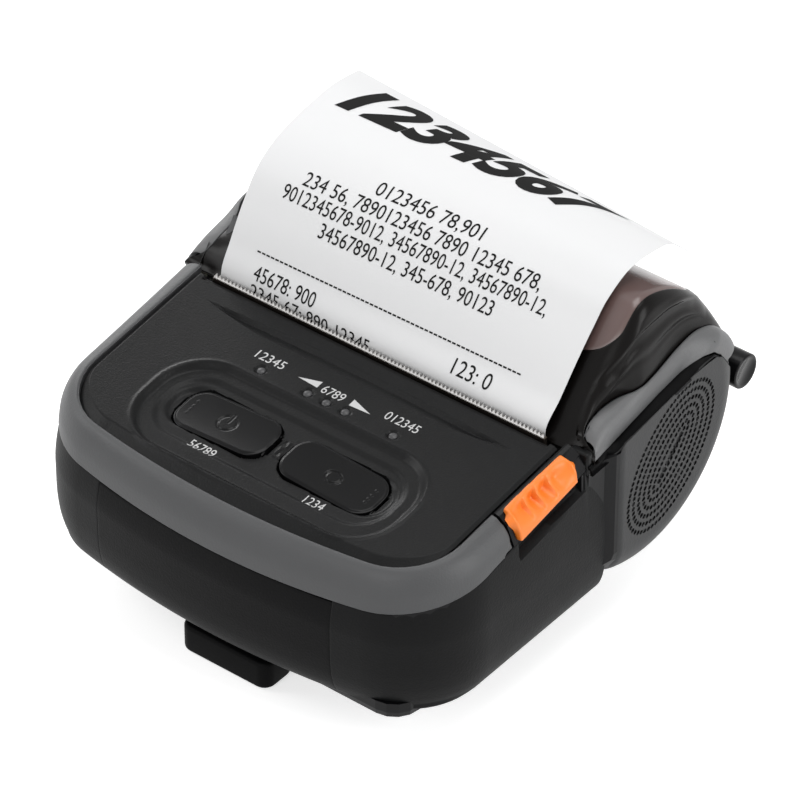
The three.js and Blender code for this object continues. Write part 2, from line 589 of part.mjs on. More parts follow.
function bellyPlate() {
  const level = (inset, z) => atHeight(bellyOutline(inset), () => z);
  const top = body.rimZ - fit.gap;
  const skin = loft([
    level(belly.round, belly.bottom), level(belly.round * belly.roundShare, belly.bottom + belly.round / 2),
    level(0, belly.bottom + belly.round * 2), level(0, top),
  ]);
  const hollow = loft([level(fit.thinWall + belly.round / 2, belly.bottom + fit.thinWall), level(fit.thinWall, top + fit.overrun)]);
  const bosses = screwPlaces.map(([side, y]) => post(
    side * caseScrew.x, y, caseScrew.headRadius + fit.wall, belly.bottom + fit.gap, top,
  ));
  const ribs = belly.ribYs.map((y) => box(
    [-belly.halfWidth + belly.round, y, belly.bottom + fit.gap], [belly.halfWidth - belly.round, y + fit.thinWall, top],
  ));
  const heads = screwPlaces.map(([side, y]) => post(
    side * caseScrew.x, y, caseScrew.headRadius + fit.gap, 0, belly.bottom + caseScrew.headHeight + fit.gap * 2,
  ));
  const holes = screwPlaces.map(([side, y]) => post(side * caseScrew.x, y, caseScrew.shank + fit.gap, 0, top + fit.overrun));
  return cut(join(cut(skin, hollow), ...bosses, ...ribs), ...heads, ...holes);
}

add('belly_plate', bellyPlate(), 'glossBlack');

// A screw with a cross recess, its head down
function screw(x, y, headZ, length, headRadius = caseScrew.headRadius) {
  const neck = headZ + caseScrew.headHeight;
  const head = post(x, y, headRadius, headZ, neck);
  const shank = post(x, y, caseScrew.shank, neck - fit.gap, neck + length);
  const bar = caseScrew.recess;
  const slots = [[bar, bar / caseScrew.recessRatio], [bar / caseScrew.recessRatio, bar]].map(([a, b]) => box(
    [x - a, y - b, headZ - fit.overrun], [x + a, y + b, headZ + caseScrew.headHeight / 2],
  ));
  return cut(join(head, shank), ...slots);
}

screwPlaces.forEach(([side, y], i) => {
  add(`case_screw_${i + 1}`, screw(side * caseScrew.x, y, belly.bottom + fit.gap, caseScrew.length - fit.wall), 'steel');
});

// Belt clip: a flat tongue under the belly with a raised tip

function beltClip() {
  const width = (y) => clip.tipHalfWidth + (clip.halfWidth - clip.tipHalfWidth) * Math.min(
    1, (y - clip.tip) / (clip.tipDepth * clip.taperShare),
  );
  const side = [
    [clip.tip, clip.tipHeight], [clip.tip, clip.corner], [clip.tip + clip.corner, 0], [clip.root - clip.corner / 2, 0],
    [clip.root, clip.corner / 2], [clip.root, drum.z], [clip.rootFront, drum.z], [clip.rootFront, clip.thickness + clip.corner],
    [clip.rootFront - clip.corner, clip.thickness], [clip.tip + clip.tipDepth + clip.corner, clip.thickness],
    [clip.tip + clip.tipDepth, clip.tipHeight],
  ];
  const plan = [
    [-width(clip.tip), clip.tip], [width(clip.tip), clip.tip],
    [clip.halfWidth, clip.tip + clip.tipDepth * clip.taperShare], [clip.halfWidth, clip.root],
    [-clip.halfWidth, clip.root], [-clip.halfWidth, clip.tip + clip.tipDepth * clip.taperShare],
  ];
  const front = [
    [-clip.halfWidth, clip.tipHeight * 2], [-clip.halfWidth, clip.corner], [-clip.halfWidth + clip.corner, 0],
    [clip.halfWidth - clip.corner, 0], [clip.halfWidth, clip.corner], [clip.halfWidth, drum.z], [-clip.halfWidth, drum.z],
  ];
  const form = prism('x', side, -clip.halfWidth, clip.halfWidth)
    .intersect(prism('z', plan, 0, drum.z))
    .intersect(prism('y', front, clip.tip, clip.root));
  const heads = [-1, 1].map((sign) => post(
    sign * clip.screwX, clip.screwY, caseScrew.headRadius + fit.gap, -fit.overrun, clip.headZ + caseScrew.headHeight + fit.gap,
  ));
  const holes = [-1, 1].map((sign) => post(sign * clip.screwX, clip.screwY, caseScrew.shank + fit.gap, 0, drum.z));
  const shellRoom = join(drumSolid(-fit.gap), box([-drum.z, -drum.z, body.rimZ - fit.gap], [drum.z, drum.z, drum.z * 2]));
  return cut(form, shellRoom, ...heads, ...holes);
}

add('belt_clip', beltClip(), 'blackPlastic');
['left', 'right'].forEach((name, i) => {
  add(`clip_screw_${name}`, screw((i * 2 - 1) * clip.screwX, clip.screwY, clip.headZ, clip.screwLength - fit.wall), 'steel');
});

// Bezel: the sloping grey frame round the black top panel

function upperLoft(inset, proud = 0, rear = -fit.overrun) {
  const low = bodyOutline(body.topInset + inset - proud, body.corner - body.topInset, rear);
  const high = panelOutline(-bezel.land + inset - proud, rear);
  const lowZ = (y) => partingZ(y) + fit.gap;
  const mid = between(low, high, bezel.bulgeShare, (y) => lowZ(y) + proud, (y) => panelZ(y) + proud, bezel.riseShare);
  const round = between(low, high, bezel.crownShare, (y) => lowZ(y) + proud, (y) => panelZ(y) + proud, bezel.crownRiseShare);
  return loft([
    atHeight(low, (x, y) => lowZ(y) - inset * 2), mid, round, atHeight(high, (x, y) => panelZ(y) + proud - inset),
  ]);
}

const latchPlan = (grow) => {
  const [front, rear] = [latch.frameFront - grow, latch.frameRear + fit.overrun];
  return [[panel.halfWidth + fit.gap - grow, front], [body.halfWidth + fit.overrun, front],
    [body.halfWidth + fit.overrun, rear], [panel.halfWidth + fit.gap - grow, rear]];
};

function latchOutline(grow) {
  const halfX = (latch.outer + fit.overrun - latch.inner) / 2;
  const halfY = (latch.rear - latch.front) / 2;
  return roundedRectangle(
    (latch.outer + fit.overrun + latch.inner) / 2, (latch.rear + latch.front) / 2,
    halfX + grow, halfY + grow, latch.corner + grow, steps.edge,
  );
}

// The space under a plane that runs a set depth below the panel's top
function underPanel(depth) {
  const [a, b] = [body.front - fit.overrun, body.rear];
  const side = drum.z * 2;
  return prism('x', [[a, -side], [b, -side], [b, panelZ(b) - depth], [a, panelZ(a) - depth]], -side, side);
}

const rearRoom = () => underPanel(panel.thickness + fit.gap).intersect(box(
  [-bezel.rearRoomHalf, bezel.rearRoomFront, -drum.z], [bezel.rearRoomHalf, body.rear, drum.z * 2],
));

function bezelRing() {
  const rear = coverEdge[0][0] - fit.gap;
  const high = drum.z * 2;
  const hollow = upperLoft(bezel.wall, 0, body.rear).intersect(
    underPanel(panel.thickness + fit.gap + bezel.ledgeThickness),
  );
  const seat = cut(prism('z', panelOutline(-fit.gap, body.rear), 0, high), underPanel(panel.thickness + fit.gap));
  const opening = prism('z', panelOutline(bezel.ledge, body.rear), 0, high);
  return cut(upperLoft(0, 0, rear), hollow, seat, opening, rearRoom(), prism('z', latchPlan(0), 0, high));
}

function latchHousing() {
  const high = drum.z * 2;
  const piece = upperLoft(0, 0, coverEdge[0][0] - fit.gap).intersect(prism('z', latchPlan(-fit.gap), 0, high));
  return cut(piece, prism('z', latchOutline(fit.runningGap), 0, high), rearRoom());
}

function latchButton() {
  const high = drum.z * 2;
  const block = upperLoft(0, latch.proud, 0).intersect(prism('z', latchOutline(0), 0, high));
  const skirtFloor = prism('x', [
    [latch.front, -high], [latch.rear, -high], [latch.rear, partingZ(latch.rear) + latch.skirtRear],
    [latch.front, partingZ(latch.front) + latch.skirtFront],
  ], -high, high);
  const inside = underPanel(latch.capThickness).intersect(box(
    [0, latch.front + latch.capThickness, -high],
    [bezel.rearRoomHalf, latch.rear - latch.capThickness, high],
  ));
  const stem = box(
    [bail.padInner, bail.padY - latch.stemHalf, bail.padZ + fit.gap],
    [bail.padOuter - fit.gap, bail.padY + latch.stemHalf, panelZ(bail.padY) - latch.capThickness / 2],
  );
  const peg = post(
    latchSpring.x, latchSpring.y, latchSpring.radius - fit.gap, latchSpring.top + fit.gap, panelZ(latchSpring.y) - latch.capThickness / 2,
  );
  return join(cut(block, skirtFloor, inside), stem, peg);
}

function latchBail() {
  const arm = (side, withPad) => {
    const [from, to] = side < 0 ? [-bail.outer, -bail.inner] : [bail.inner, bail.outer];
    const hook = prism('x', [
      [bail.uprightY - bail.width, bail.z], [bail.uprightY + bail.width, bail.z],
      [bail.uprightY + bail.width, bail.barZ - bail.barHalf], [platen.y - platen.shaftRadius - fit.gap, bail.barZ - bail.barHalf],
      [platen.y - platen.shaftRadius - fit.gap, platen.z + platen.shaftRadius + fit.gap],
      [platen.y + bail.nose, platen.z + platen.shaftRadius + fit.gap],
      [platen.y + bail.nose, platen.z + platen.shaftRadius + fit.gap + bail.claw],
      [bail.hookFront, platen.z + platen.shaftRadius + fit.gap + bail.claw],
      [bail.hookFront, bail.barZ + bail.barHalf], [bail.uprightY - bail.width, bail.barZ + bail.barHalf],
    ], from, to);
    const hub = rod(bail.y, bail.z, bail.hub, from, to);
    if (!withPad) return join(hook, hub);
    const neck = prism('x', [
      [bail.uprightY, bail.neckZ], [bail.uprightY, bail.neckZ + bail.padThickness * 2],
      [bail.padY + bail.padThickness, bail.padZ], [bail.padY - bail.padThickness, bail.padZ],
      [bail.padY - bail.padThickness, bail.padZ - bail.padThickness],
    ], from, to);
    const pad = prism('x', [
      [bail.padY - bail.padThickness, bail.padZ], [bail.padY - bail.padThickness, bail.padZ - bail.padThickness],
      [bail.padRear, bail.padZ - bail.padThickness - bail.padDrop], [bail.padRear, bail.padZ - bail.padDrop],
    ], from, bail.padOuter);
    return join(hook, hub, neck, pad);
  };
  return join(arm(-1, false), arm(1, true), rod(bail.y, bail.z, bail.radius, -bail.outer, bail.outer));
}

// A round wire wound about an upright axis
function coil(x, y, bottom, top, radius, wire, turns) {
  class Helix extends THREE.Curve {
    getPoint(t) {
      const angle = 2 * Math.PI * turns * t;
      const z = bottom + wire + (top - bottom - 2 * wire) * t;
      return new THREE.Vector3(x + radius * Math.cos(angle), y + radius * Math.sin(angle), z);
    }
  }
  const shape = new THREE.Shape(circle(0, 0, wire, steps.wire).map(([a, b]) => new THREE.Vector2(a, b)));
  const depth = { steps: Math.round(turns * steps.turn), extrudePath: new Helix(), bevelEnabled: false };
  return solid(new THREE.ExtrudeGeometry(shape, depth));
}

add('bezel', bezelRing(), 'greyPlastic');
add('latch_housing', latchHousing(), 'blackPlastic');
add('latch_button', latchButton(), 'orange');
add('latch_bail', latchBail(), 'steel');
add('latch_spring', coil(
  latchSpring.x, latchSpring.y, latchSpring.bottom, latchSpring.top, latchSpring.radius, latchSpring.wire, latchSpring.turns,
), 'steel');

// Top panel: a black plate with a shallow tray, two key openings and five lamp holes

const keyOutline = (side, grow) => roundedRectangle(
  side * keys.x, keys.y, keys.halfLength + grow, keys.halfDepth + grow, keys.corner + grow, steps.edge, side * keys.tilt,
);

function topPanel() {
  const high = drum.z * 2;
  const skin = (inset, depth) => atHeight(panelOutline(inset), (x, y) => panelZ(y) - depth);
  const plate = loft([skin(0, panel.thickness), skin(0, panel.chamfer / 2), skin(panel.chamfer, 0)]);
  const tray = cut(prism('z', roundedRectangle(
    0, (keys.trayFront + keys.trayRear) / 2, keys.trayHalf, (keys.trayRear - keys.trayFront) / 2, keys.trayCorner, steps.edge,
  ), 0, high), underPanel(keys.trayDepth));
  const openings = [-1, 1].map((side) => prism('z', keyOutline(side, fit.gap), 0, high));
  const lampHoles = lamp.xs.map((x) => post(x, lamp.y, lamp.radius + fit.gap, 0, high));
  return cut(plate, tray, ...openings, ...lampHoles);
}

function keyCap(side) {
  const top = keys.trayDepth + keys.capDrop;
  const slab = (grow, from, to) => {
    const shell = cut(prism('z', keyOutline(side, grow), 0, drum.z * 2), underPanel(to));
    return shell.intersect(underPanel(from));
  };
  const cap = slab(0, top, panel.thickness + fit.gap * 2);
  const flange = slab(keys.flange, panel.thickness + fit.gap, panel.thickness + fit.gap + keys.flangeThickness);
  const stem = post(side * keys.x, keys.y, keys.stem, keys.stemBottom, panelZ(keys.y) - panel.thickness);
  return join(cap, flange, stem);
}

function tactSwitch(side) {
  const half = keys.switchHalf;
  const housing = box(
    [side * keys.x - half, keys.y - half, board.top + fit.gap], [side * keys.x + half, keys.y + half, keys.switchTop],
  );
  return join(housing, post(side * keys.x, keys.y, keys.plunger, keys.switchTop - fit.gap, keys.plungerTop));
}

function lampPipe(x) {
  const low = board.top + fit.gap;
  const light = post(x, lamp.y, lamp.radius, low, drum.z * 2).intersect(underPanel(lamp.below));
  return join(light, post(x, lamp.y, lamp.base, low, lamp.baseTop));
}

add('top_panel', topPanel(), 'blackPlastic');
add('power_button', keyCap(-1), 'blackPlastic');
add('feed_button', keyCap(1), 'blackPlastic');
add('power_switch', tactSwitch(-1), 'steel');
add('feed_switch', tactSwitch(1), 'steel');
lamp.xs.forEach((x, i) => add(`status_led_${i + 1}`, lampPipe(x), 'lens'));

function mainBoard() {
  const outline = prism('z', bodyOutline(board.inset), board.bottom, board.top);
  return outline.intersect(box(
    [-board.halfWidth, board.front, 0], [board.halfWidth, board.rear, drum.z],
  ));
}

add('main_board', mainBoard(), 'board');

// Sockets behind the rubber flap on the left side

function powerJack() {
  const face = port.recessX + fit.gap;
  const barrel = cut(
    rod(port.jackY, port.jackZ, port.jackRadius, face, port.bodyX),
    rod(port.jackY, port.jackZ, port.jackBore, face - fit.overrun, port.blockX + fit.overrun),
  );
  return join(barrel, rod(port.jackY, port.jackZ, port.pinRadius, face + fit.thinWall, port.bodyX - fit.gap));
}

function usbPort() {
  const face = port.recessX + fit.gap;
  const shape = (shrink) => roundedRectangle(
    port.usbY, port.usbZ, port.usbHalfWidth - shrink, port.usbHalfHeight - shrink, fit.gap, steps.edge,
  );
  const shell = cut(prism('x', shape(0), face, port.bodyX), prism('x', shape(port.usbSkin), face - fit.overrun, port.blockX));
  const tongue = box(
    [face + fit.gap, port.usbY - port.usbTongue, port.usbZ - port.usbSkin],
    [port.blockX + fit.gap, port.usbY + port.usbTongue, port.usbZ + port.usbSkin],
  );
  return join(shell, tongue);
}

function portCover() {
  const outline = (shrink) => roundedRectangle(
    (port.front + port.rear) / 2, (port.bottom + port.top) / 2,
    (port.rear - port.front) / 2 - shrink, (port.top - port.bottom) / 2 - shrink, port.corner, steps.edge,
  );
  const skin = prism('x', outline(fit.gap), -drum.halfWidth, port.recessX - fit.gap);
  return skin.intersect(frontBody(0, 0));
}

add('power_jack', powerJack(), 'blackPlastic');
add('usb_port', usbPort(), 'steel');
add('port_cover', portCover(), 'rubber');

// Tear bar: a bent steel strip whose upper edge is a row of teeth

function tearBar() {
  const count = Math.round((tear.halfWidth * 2) / tear.pitch);
  const pitch = (tear.halfWidth * 2) / count;
  const edge = [[-tear.halfWidth, tear.root]];
  for (let i = 0; i < count; i += 1) {
    const x = -tear.halfWidth + pitch * i;
    edge.push([x + pitch / 2, tear.tip], [x + pitch, tear.root]);
  }
  const blade = prism('y', [
    ...edge.reverse(), [-tear.halfWidth, tear.footTop - tear.thickness], [tear.halfWidth, tear.footTop - tear.thickness],
  ], tear.front, tear.rear);
  const foot = box(
    [-tear.halfWidth, tear.foot, tear.footTop - tear.thickness], [tear.halfWidth, tear.front + fit.gap, tear.footTop],
  );
  return join(blade, foot);
}

add('tear_bar', tearBar(), 'steel');

// Print mechanism on its sheet metal frame

function printHead() {
  const sink = box([-head.halfWidth, head.front, head.bottom], [head.halfWidth, head.rear, head.top]);
  const dots = box(
    [-paper.halfWidth, head.rear - fit.gap, platen.z - fit.wall], [paper.halfWidth, head.rear + head.dotProud, platen.z + fit.wall],
  );
  const cupRooms = [-1, 1].map((side) => prism('y', circle(
    side * head.springX, head.springZ, head.springRadius + head.wire + fit.gap, steps.small,
  ), head.front - fit.overrun, head.front + head.cupDepth));
  return cut(join(sink, dots), ...cupRooms);
}

// Springs lie along Y: wound upright, then tipped back
function headSpring(side) {
  const length = head.front + head.cupDepth - plate.backY - fit.gap * 2;
  const wound = coil(0, 0, 0, length, head.springRadius, head.wire, head.turns);
  return wound.rotate([90, 0, 0]).translate([side * head.springX, head.front + head.cupDepth - fit.gap, head.springZ]);
}

function mechFrame() {
  const t = plate.thickness;
  const outer = plate.x + t;
  const back = box([-outer, plate.backY - t, plate.bottom], [outer, plate.backY, plate.top]);
  const sides = [-1, 1].map((side) => {
    const [from, to] = side < 0 ? [-outer, -plate.x] : [plate.x, outer];
    const form = prism('x', [
      [plate.backY - t, plate.bottom], [plate.lowRear, plate.bottom], [plate.lowRear, plate.stepZ],
      [plate.highRear, plate.stepZ + fit.wall], [plate.highRear, plate.rimZ],
      [plate.frontTopY, plate.rimZ], [plate.frontTopY - fit.wall, plate.top], [plate.backY - t, plate.top],
    ], from, to);
    return form;
  });
  const slots = join(
    rod(platen.y, platen.z, platen.bushRadius + fit.gap, -outer - t, outer + t, steps.small * 2),
    box([-outer - t, platen.y - platen.bushRadius - fit.gap, platen.z], [outer + t, platen.y + platen.bushRadius + fit.gap, drum.z * 2]),
  );
  const lugs = plate.windowXs.map((x) => prism('y', roundedRectangle(
    x, plate.windowZ, plate.windowHalf, plate.windowHalfHeight, fit.wall, steps.edge,
  ), plate.backY - t * 2, plate.backY + t));
  const shaftHole = rod(motor.y, motor.z, motor.shaftRadius * 2, -outer - t, -plate.x + t);
  const bailHoles = rod(bail.y, bail.z, bail.radius + fit.gap, -outer - t, outer + t);
  const motorRoom = rod(motor.y, motor.z, motor.radius + fit.gap, motor.x - fit.gap, motor.x + motor.length + fit.gap, steps.round);
  return cut(join(back, ...sides), slots, ...lugs, shaftHole, bailHoles, motorRoom);
}

function driveMotor() {
  const can = rod(motor.y, motor.z, motor.radius, motor.x, motor.x + motor.length, steps.round);
  const nose = rod(motor.y, motor.z, motor.shaftRadius * 2 - fit.gap, motor.x - motor.nose, motor.x + fit.gap);
  const shaft = rod(motor.y, motor.z, motor.shaftRadius, gear.x, motor.x);
  return join(can, nose, shaft);
}

add('print_head', printHead(), 'aluminium');
add('head_spring_left', headSpring(-1), 'steel');
add('head_spring_right', headSpring(1), 'steel');
add('mech_frame', mechFrame(), 'steel');
add('drive_motor', driveMotor(), 'steel');

// Gear train: motor pinion, idler and platen gear

function circlesMeet([y1, z1], radius1, [y2, z2], radius2) {
  const apart = Math.hypot(y2 - y1, z2 - z1);
  const along = (radius1 ** 2 - radius2 ** 2 + apart ** 2) / (2 * apart);
  const across = Math.sqrt(radius1 ** 2 - along ** 2);
  const [ey, ez] = [(y2 - y1) / apart, (z2 - z1) / apart];
  return [y1 + ey * along + ez * across, z1 + ez * along - ey * across];
}

const pitchRadius = (teeth) => (gear.module * teeth) / 2;
const idlerPlace = circlesMeet(
  [platen.y, platen.z], pitchRadius(gear.platenTeeth + gear.idlerTeeth),
  [motor.y, motor.z], pitchRadius(gear.motorTeeth + gear.idlerTeeth),
);
const heading = (from, to) => THREE.MathUtils.radToDeg(Math.atan2(to[1] - from[1], to[0] - from[0]));

// Angle of a gear's first tooth so that it meshes with a neighbour
function meshPhase(phase, teeth, direction, otherTeeth) {
  const share = ((direction - phase) * teeth) / 360;
  return direction + 180 + ((share + gear.halfToothShare) * 360) / otherTeeth;
}

function gearOutline(y, z, teeth, phase) {
  const pitch = pitchRadius(teeth);
  const [rootRadius, tipRadius] = [pitch - gear.module * gear.rootShare, pitch + gear.module * gear.tipShare];
  const half = 90 / teeth - THREE.MathUtils.radToDeg(gear.backlash / 2 / pitch);
  const points = [];
  for (let i = 0; i < teeth; i += 1) {
    const centre = phase + (360 * i) / teeth;
    const flank = [
      [-gear.rootWidthShare, rootRadius], [-1, pitch], [-gear.tipWidthShare, tipRadius],
      [gear.tipWidthShare, tipRadius], [1, pitch], [gear.rootWidthShare, rootRadius],
    ];
    flank.forEach(([share, radius]) => {
      const angle = rad(centre + half * share);
      points.push([y + radius * Math.cos(angle), z + radius * Math.sin(angle)]);
    });
  }
  return points;
}

const [motorPlace, platenPlace] = [[motor.y, motor.z], [platen.y, platen.z]];
const platenPhase = 0;
const idlerPhase = meshPhase(platenPhase, gear.platenTeeth, heading(platenPlace, idlerPlace), gear.idlerTeeth);
const motorPhase = meshPhase(idlerPhase, gear.idlerTeeth, heading(idlerPlace, motorPlace), gear.motorTeeth);

function spurGear([y, z], teeth, phase, bore) {
  const wheel = prism('x', gearOutline(y, z, teeth, phase), gear.x, gear.x + gear.width);
  return cut(wheel, rod(y, z, bore, gear.x - gear.width, gear.x + gear.width * 2));
}

function idlerPin() {
  const shank = rod(...idlerPlace, gear.pinRadius, gear.x - gear.pinHead, -plate.x - plate.thickness - fit.gap);
  return join(shank, rod(...idlerPlace, gear.pinRadius * 2, gear.x - gear.pinHead - fit.gap, gear.x - fit.gap));
}

add('motor_pinion', spurGear(motorPlace, gear.motorTeeth, motorPhase, motor.shaftRadius + gear.boreGap), 'brass');
add('idler_gear', spurGear(idlerPlace, gear.idlerTeeth, idlerPhase, gear.pinRadius + gear.boreGap), 'nylon');
add('idler_pin', idlerPin(), 'steel');
add('platen_gear', spurGear(platenPlace, gear.platenTeeth, platenPhase, platen.shaftRadius + gear.boreGap), 'nylon');

// Platen roller on its shaft, with a bush at each end

function platenRoller() {
  return cut(
    rod(platen.y, platen.z, platen.radius, -platen.halfLength, platen.halfLength, steps.round),
    rod(platen.y, platen.z, platen.shaftRadius + gear.boreGap, -drum.z * 2, drum.z * 2),
  );
}

function bush(side) {
  const [from, to] = side < 0 ? [-plate.x - plate.thickness, -cover.cheekInner] : [cover.cheekInner, plate.x + plate.thickness];
  return cut(
    rod(platen.y, platen.z, platen.bushRadius, from, to, steps.small * 2),
    rod(platen.y, platen.z, platen.shaftRadius + gear.boreGap, -drum.z * 2, drum.z * 2),
  );
}

add('platen_roller', platenRoller(), 'rubber');
add('platen_shaft', rod(platen.y, platen.z, platen.shaftRadius, -platen.shaftEnd, bail.outer + fit.gap), 'steel');
add('platen_bush_left', bush(-1), 'nylon');
add('platen_bush_right', bush(1), 'nylon');

// Cover: a frame with the platen's carrier, a smoky shell and a clear window

function smokyZone(grow) {
  const top = drum.z * 2;
  const line = smokyEdge.map(([y, z]) => [y, z - grow]);
  const above = prism('x', [...line, [line[line.length - 1][0], top], [line[0][0], top]], -top, top);
  const right = smokyPlan.map(([x, y]) => [x + grow, y]);
  const plan = prism('z', [...right, ...right.slice().reverse().map(([x, y]) => [-x, y])], 0, top);
  return above.intersect(plan);
}

const coverRange = () => aboveCoverEdge(0, 0);
const coverBody = (inset) => drumBody(inset).intersect(coverShoulder(inset));
const coverInner = (inset) => drumSolid(inset).intersect(coverShoulder(inset));
const coverSkin = (from, to) => cut(coverBody(from), coverInner(to)).intersect(coverRange());
const windowSkin = (from, to) => cut(drumBody(from), drumSolid(to)).intersect(coverRange());

function coverFrame() {
  const strips = cut(coverSkin(0, cover.frameWall), smokyZone(fit.gap));
  const inner = coverInner(cover.shell + fit.gap);
  const bar = box(
    [-drum.halfWidth, cover.barFront, cover.barBottom], [drum.halfWidth, cover.barRear, drum.z * 2],
  ).intersect(inner);
  const ends = [-1, 1].map((side) => cut(coverBody(fit.gap).intersect(coverRange()), smokyZone(fit.gap)).intersect(box(
    [side < 0 ? -drum.halfWidth : cover.cheekOuter, cover.barFront, cover.barBottom],
    [side < 0 ? -cover.cheekOuter : drum.halfWidth, cover.barRear, drum.z * 2],
  )));
  const notches = [-1, 1].map((side) => {
    const [from, to] = side < 0 ? [-cover.notchOuter, -cover.notchInner] : [cover.notchInner, cover.notchOuter];
    return box([from, cover.barFront - fit.overrun, 0], [to, cover.notchRear, cover.notchTop]);
  });
  const gearNotch = box(
    [gear.x - fit.gap * 2, cover.barFront - fit.overrun, 0],
    [-cover.notchInner, platen.y + pitchRadius(gear.platenTeeth) + gear.module * 2, cover.gearNotchTop],
  );
  const cheeks = [-1, 1].map((side) => {
    const [from, to] = side < 0 ? [-cover.cheekOuter, -cover.cheekInner] : [cover.cheekInner, cover.cheekOuter];
    return prism('x', [
      [cover.cheekFront, platen.z], [cover.cheekFront + fit.wall, cover.cheekBottom], [cover.cheekRear - fit.wall, cover.cheekBottom],
      [cover.cheekRear, platen.z], [cover.cheekRear + fit.wall, cover.barBottom + fit.wall],
      [cover.cheekFront + fit.wall, cover.barBottom + fit.gap],
    ], from, to);
  });
  const knuckleEnd = hinge.knuckle - fit.gap * 2;
  const web = prism('x', cover.web, -knuckleEnd, knuckleEnd);
  const barrel = rod(hinge.y, hinge.z, hinge.radius, -knuckleEnd, knuckleEnd, steps.small * 2);
  const bores = join(
    rod(platen.y, platen.z, platen.bushRadius + gear.boreGap, -drum.z * 2, drum.z * 2, steps.small * 2),
    rod(hinge.y, hinge.z, hinge.pinRadius + fit.gap, -drum.z * 2, drum.z * 2),
  );
  return cut(join(strips, bar, ...ends, ...cheeks, web, barrel), ...notches, gearNotch, bores);
}

const windowOutline = (grow) => roundedRectangle(
  0, cover.windowY, cover.windowHalfX + grow, cover.windowHalfY + grow, cover.windowCorner + grow, steps.edge,
);

function coverShell() {
  const opening = prism('z', windowOutline(fit.gap), hinge.z, drum.z * 2);
  return cut(coverSkin(0, cover.shell).intersect(smokyZone(0)), opening);
}

function coverWindow() {
  const pane = windowSkin(0, cover.shell + fit.gap * 2).intersect(prism('z', windowOutline(0), hinge.z, drum.z * 2));
  const flange = windowSkin(cover.shell + fit.gap, cover.shell + fit.gap + cover.windowThickness).intersect(
    prism('z', windowOutline(cover.windowFlange), hinge.z, drum.z * 2),
  );
  return join(pane, flange);
}

add('cover_frame', coverFrame(), 'greyPlastic');
add('cover_shell', coverShell(), 'smoky');
add('cover_window', coverWindow(), 'window');
add('hinge_pin', rod(hinge.y, hinge.z, hinge.pinRadius, -hinge.halfWidth + hinge.pinEnd, hinge.halfWidth - hinge.pinEnd), 'steel');

// Paper: the roll on its core, the web to the platen and the printed strip outside

function ringRod(y, z, outer, inner, halfLength) {
  return cut(
    rod(y, z, outer, -halfLength, halfLength, steps.round), rod(y, z, inner, -halfLength * 2, halfLength * 2, steps.round),
  );
}

add('lower_shell', lowerShell(), 'blackPlastic');
add('battery_pack', batteryPack(), 'blackPlastic');
add('paper_roll', ringRod(roll.y, roll.z, roll.radius, roll.coreRadius + fit.gap, paper.halfWidth), 'paper');
add('roll_core', ringRod(roll.y, roll.z, roll.coreRadius, roll.coreBore, paper.halfWidth), 'paper');

// A sheet of paper between two side curves, both seen from the side
function sheet(leftCurve, rightCurve, count, across) {
  const smooth = (points) => new THREE.CatmullRomCurve3(
    points.map(([y, z]) => new THREE.Vector3(0, y, z)), false, 'centripetal',
  ).getSpacedPoints(count);
  const [left, right] = [smooth(leftCurve), smooth(rightCurve)];
  const sideNormal = (line, i) => {
    const [before, after] = [line[Math.max(i - 1, 0)], line[Math.min(i + 1, count)]];
    const along = after.clone().sub(before).normalize();
    return new THREE.Vector3(0, -along.z, along.y);
  };
  const rings = left.map((start, i) => {
    const end = right[i];
    const [startNormal, endNormal] = [sideNormal(left, i), sideNormal(right, i)];
    const row = (sign) => Array.from({ length: across + 1 }, (_, k) => {
      const share = k / across;
      const point = start.clone().lerp(end, share);
      point.addScaledVector(startNormal.clone().lerp(endNormal, share).normalize(), (sign * paper.thickness) / 2);
      return [-paper.halfWidth + 2 * paper.halfWidth * share, point.y, point.z];
    });
    return [...row(-1), ...row(1).reverse()];
  });
  return stripSolid(rings, across);
}

// Closes a stack of flat rings whose ends are strips
function stripSolid(rings, across) {
  const positions = [];
  const quad = (a, b, c, d) => positions.push(...a, ...b, ...c, ...a, ...c, ...d);
  const size = rings[0].length;
  for (let k = 0; k + 1 < rings.length; k += 1) {
    for (let i = 0; i < size; i += 1) {
      const next = (i + 1) % size;
      quad(rings[k][i], rings[k + 1][i], rings[k + 1][next], rings[k][next]);
    }
  }
  const cap = (ring, flip) => {
    for (let i = 0; i < across; i += 1) {
      const corners = [ring[i], ring[i + 1], ring[size - 2 - i], ring[size - 1 - i]];
      quad(...(flip ? corners.reverse() : corners));
    }
  };
  cap(rings[0], false);
  cap(rings[rings.length - 1], true);
  const geometry = new THREE.BufferGeometry();
  geometry.setAttribute('position', new THREE.Float32BufferAttribute(positions, 3));
  return solid(geometry);
}

// Tangent from the roll to the platen, then round the platen to the nip
function webCurve() {
  const [fromRadius, toRadius] = [roll.radius + fit.gap + paper.thickness / 2, platen.y - paper.planeY];
  const [dy, dz] = [platen.y - roll.y, platen.z - roll.z];
  const apart = Math.hypot(dy, dz);
  const lean = THREE.MathUtils.radToDeg(Math.acos((toRadius - fromRadius) / apart));
  const away = heading([roll.y, roll.z], [platen.y, platen.z]) - lean + 180;
  const start = arc(roll.y, roll.z, fromRadius, away + paper.wrap, away, steps.edge);
  const end = arc(platen.y, platen.z, toRadius, away, 180, steps.edge);
  return [...start, ...end, [paper.planeY, paper.webTop]];
}

add('paper_web', sheet(webCurve(), webCurve(), steps.web, 1), 'paper');
add('receipt_paper', sheet(stripLeft, stripRight, steps.strip, steps.across), 'paper');

export default group;
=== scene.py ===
import json
import math
from types import SimpleNamespace as Values

import bmesh
import bpy
import numpy as np
from mathutils import Matrix, Vector


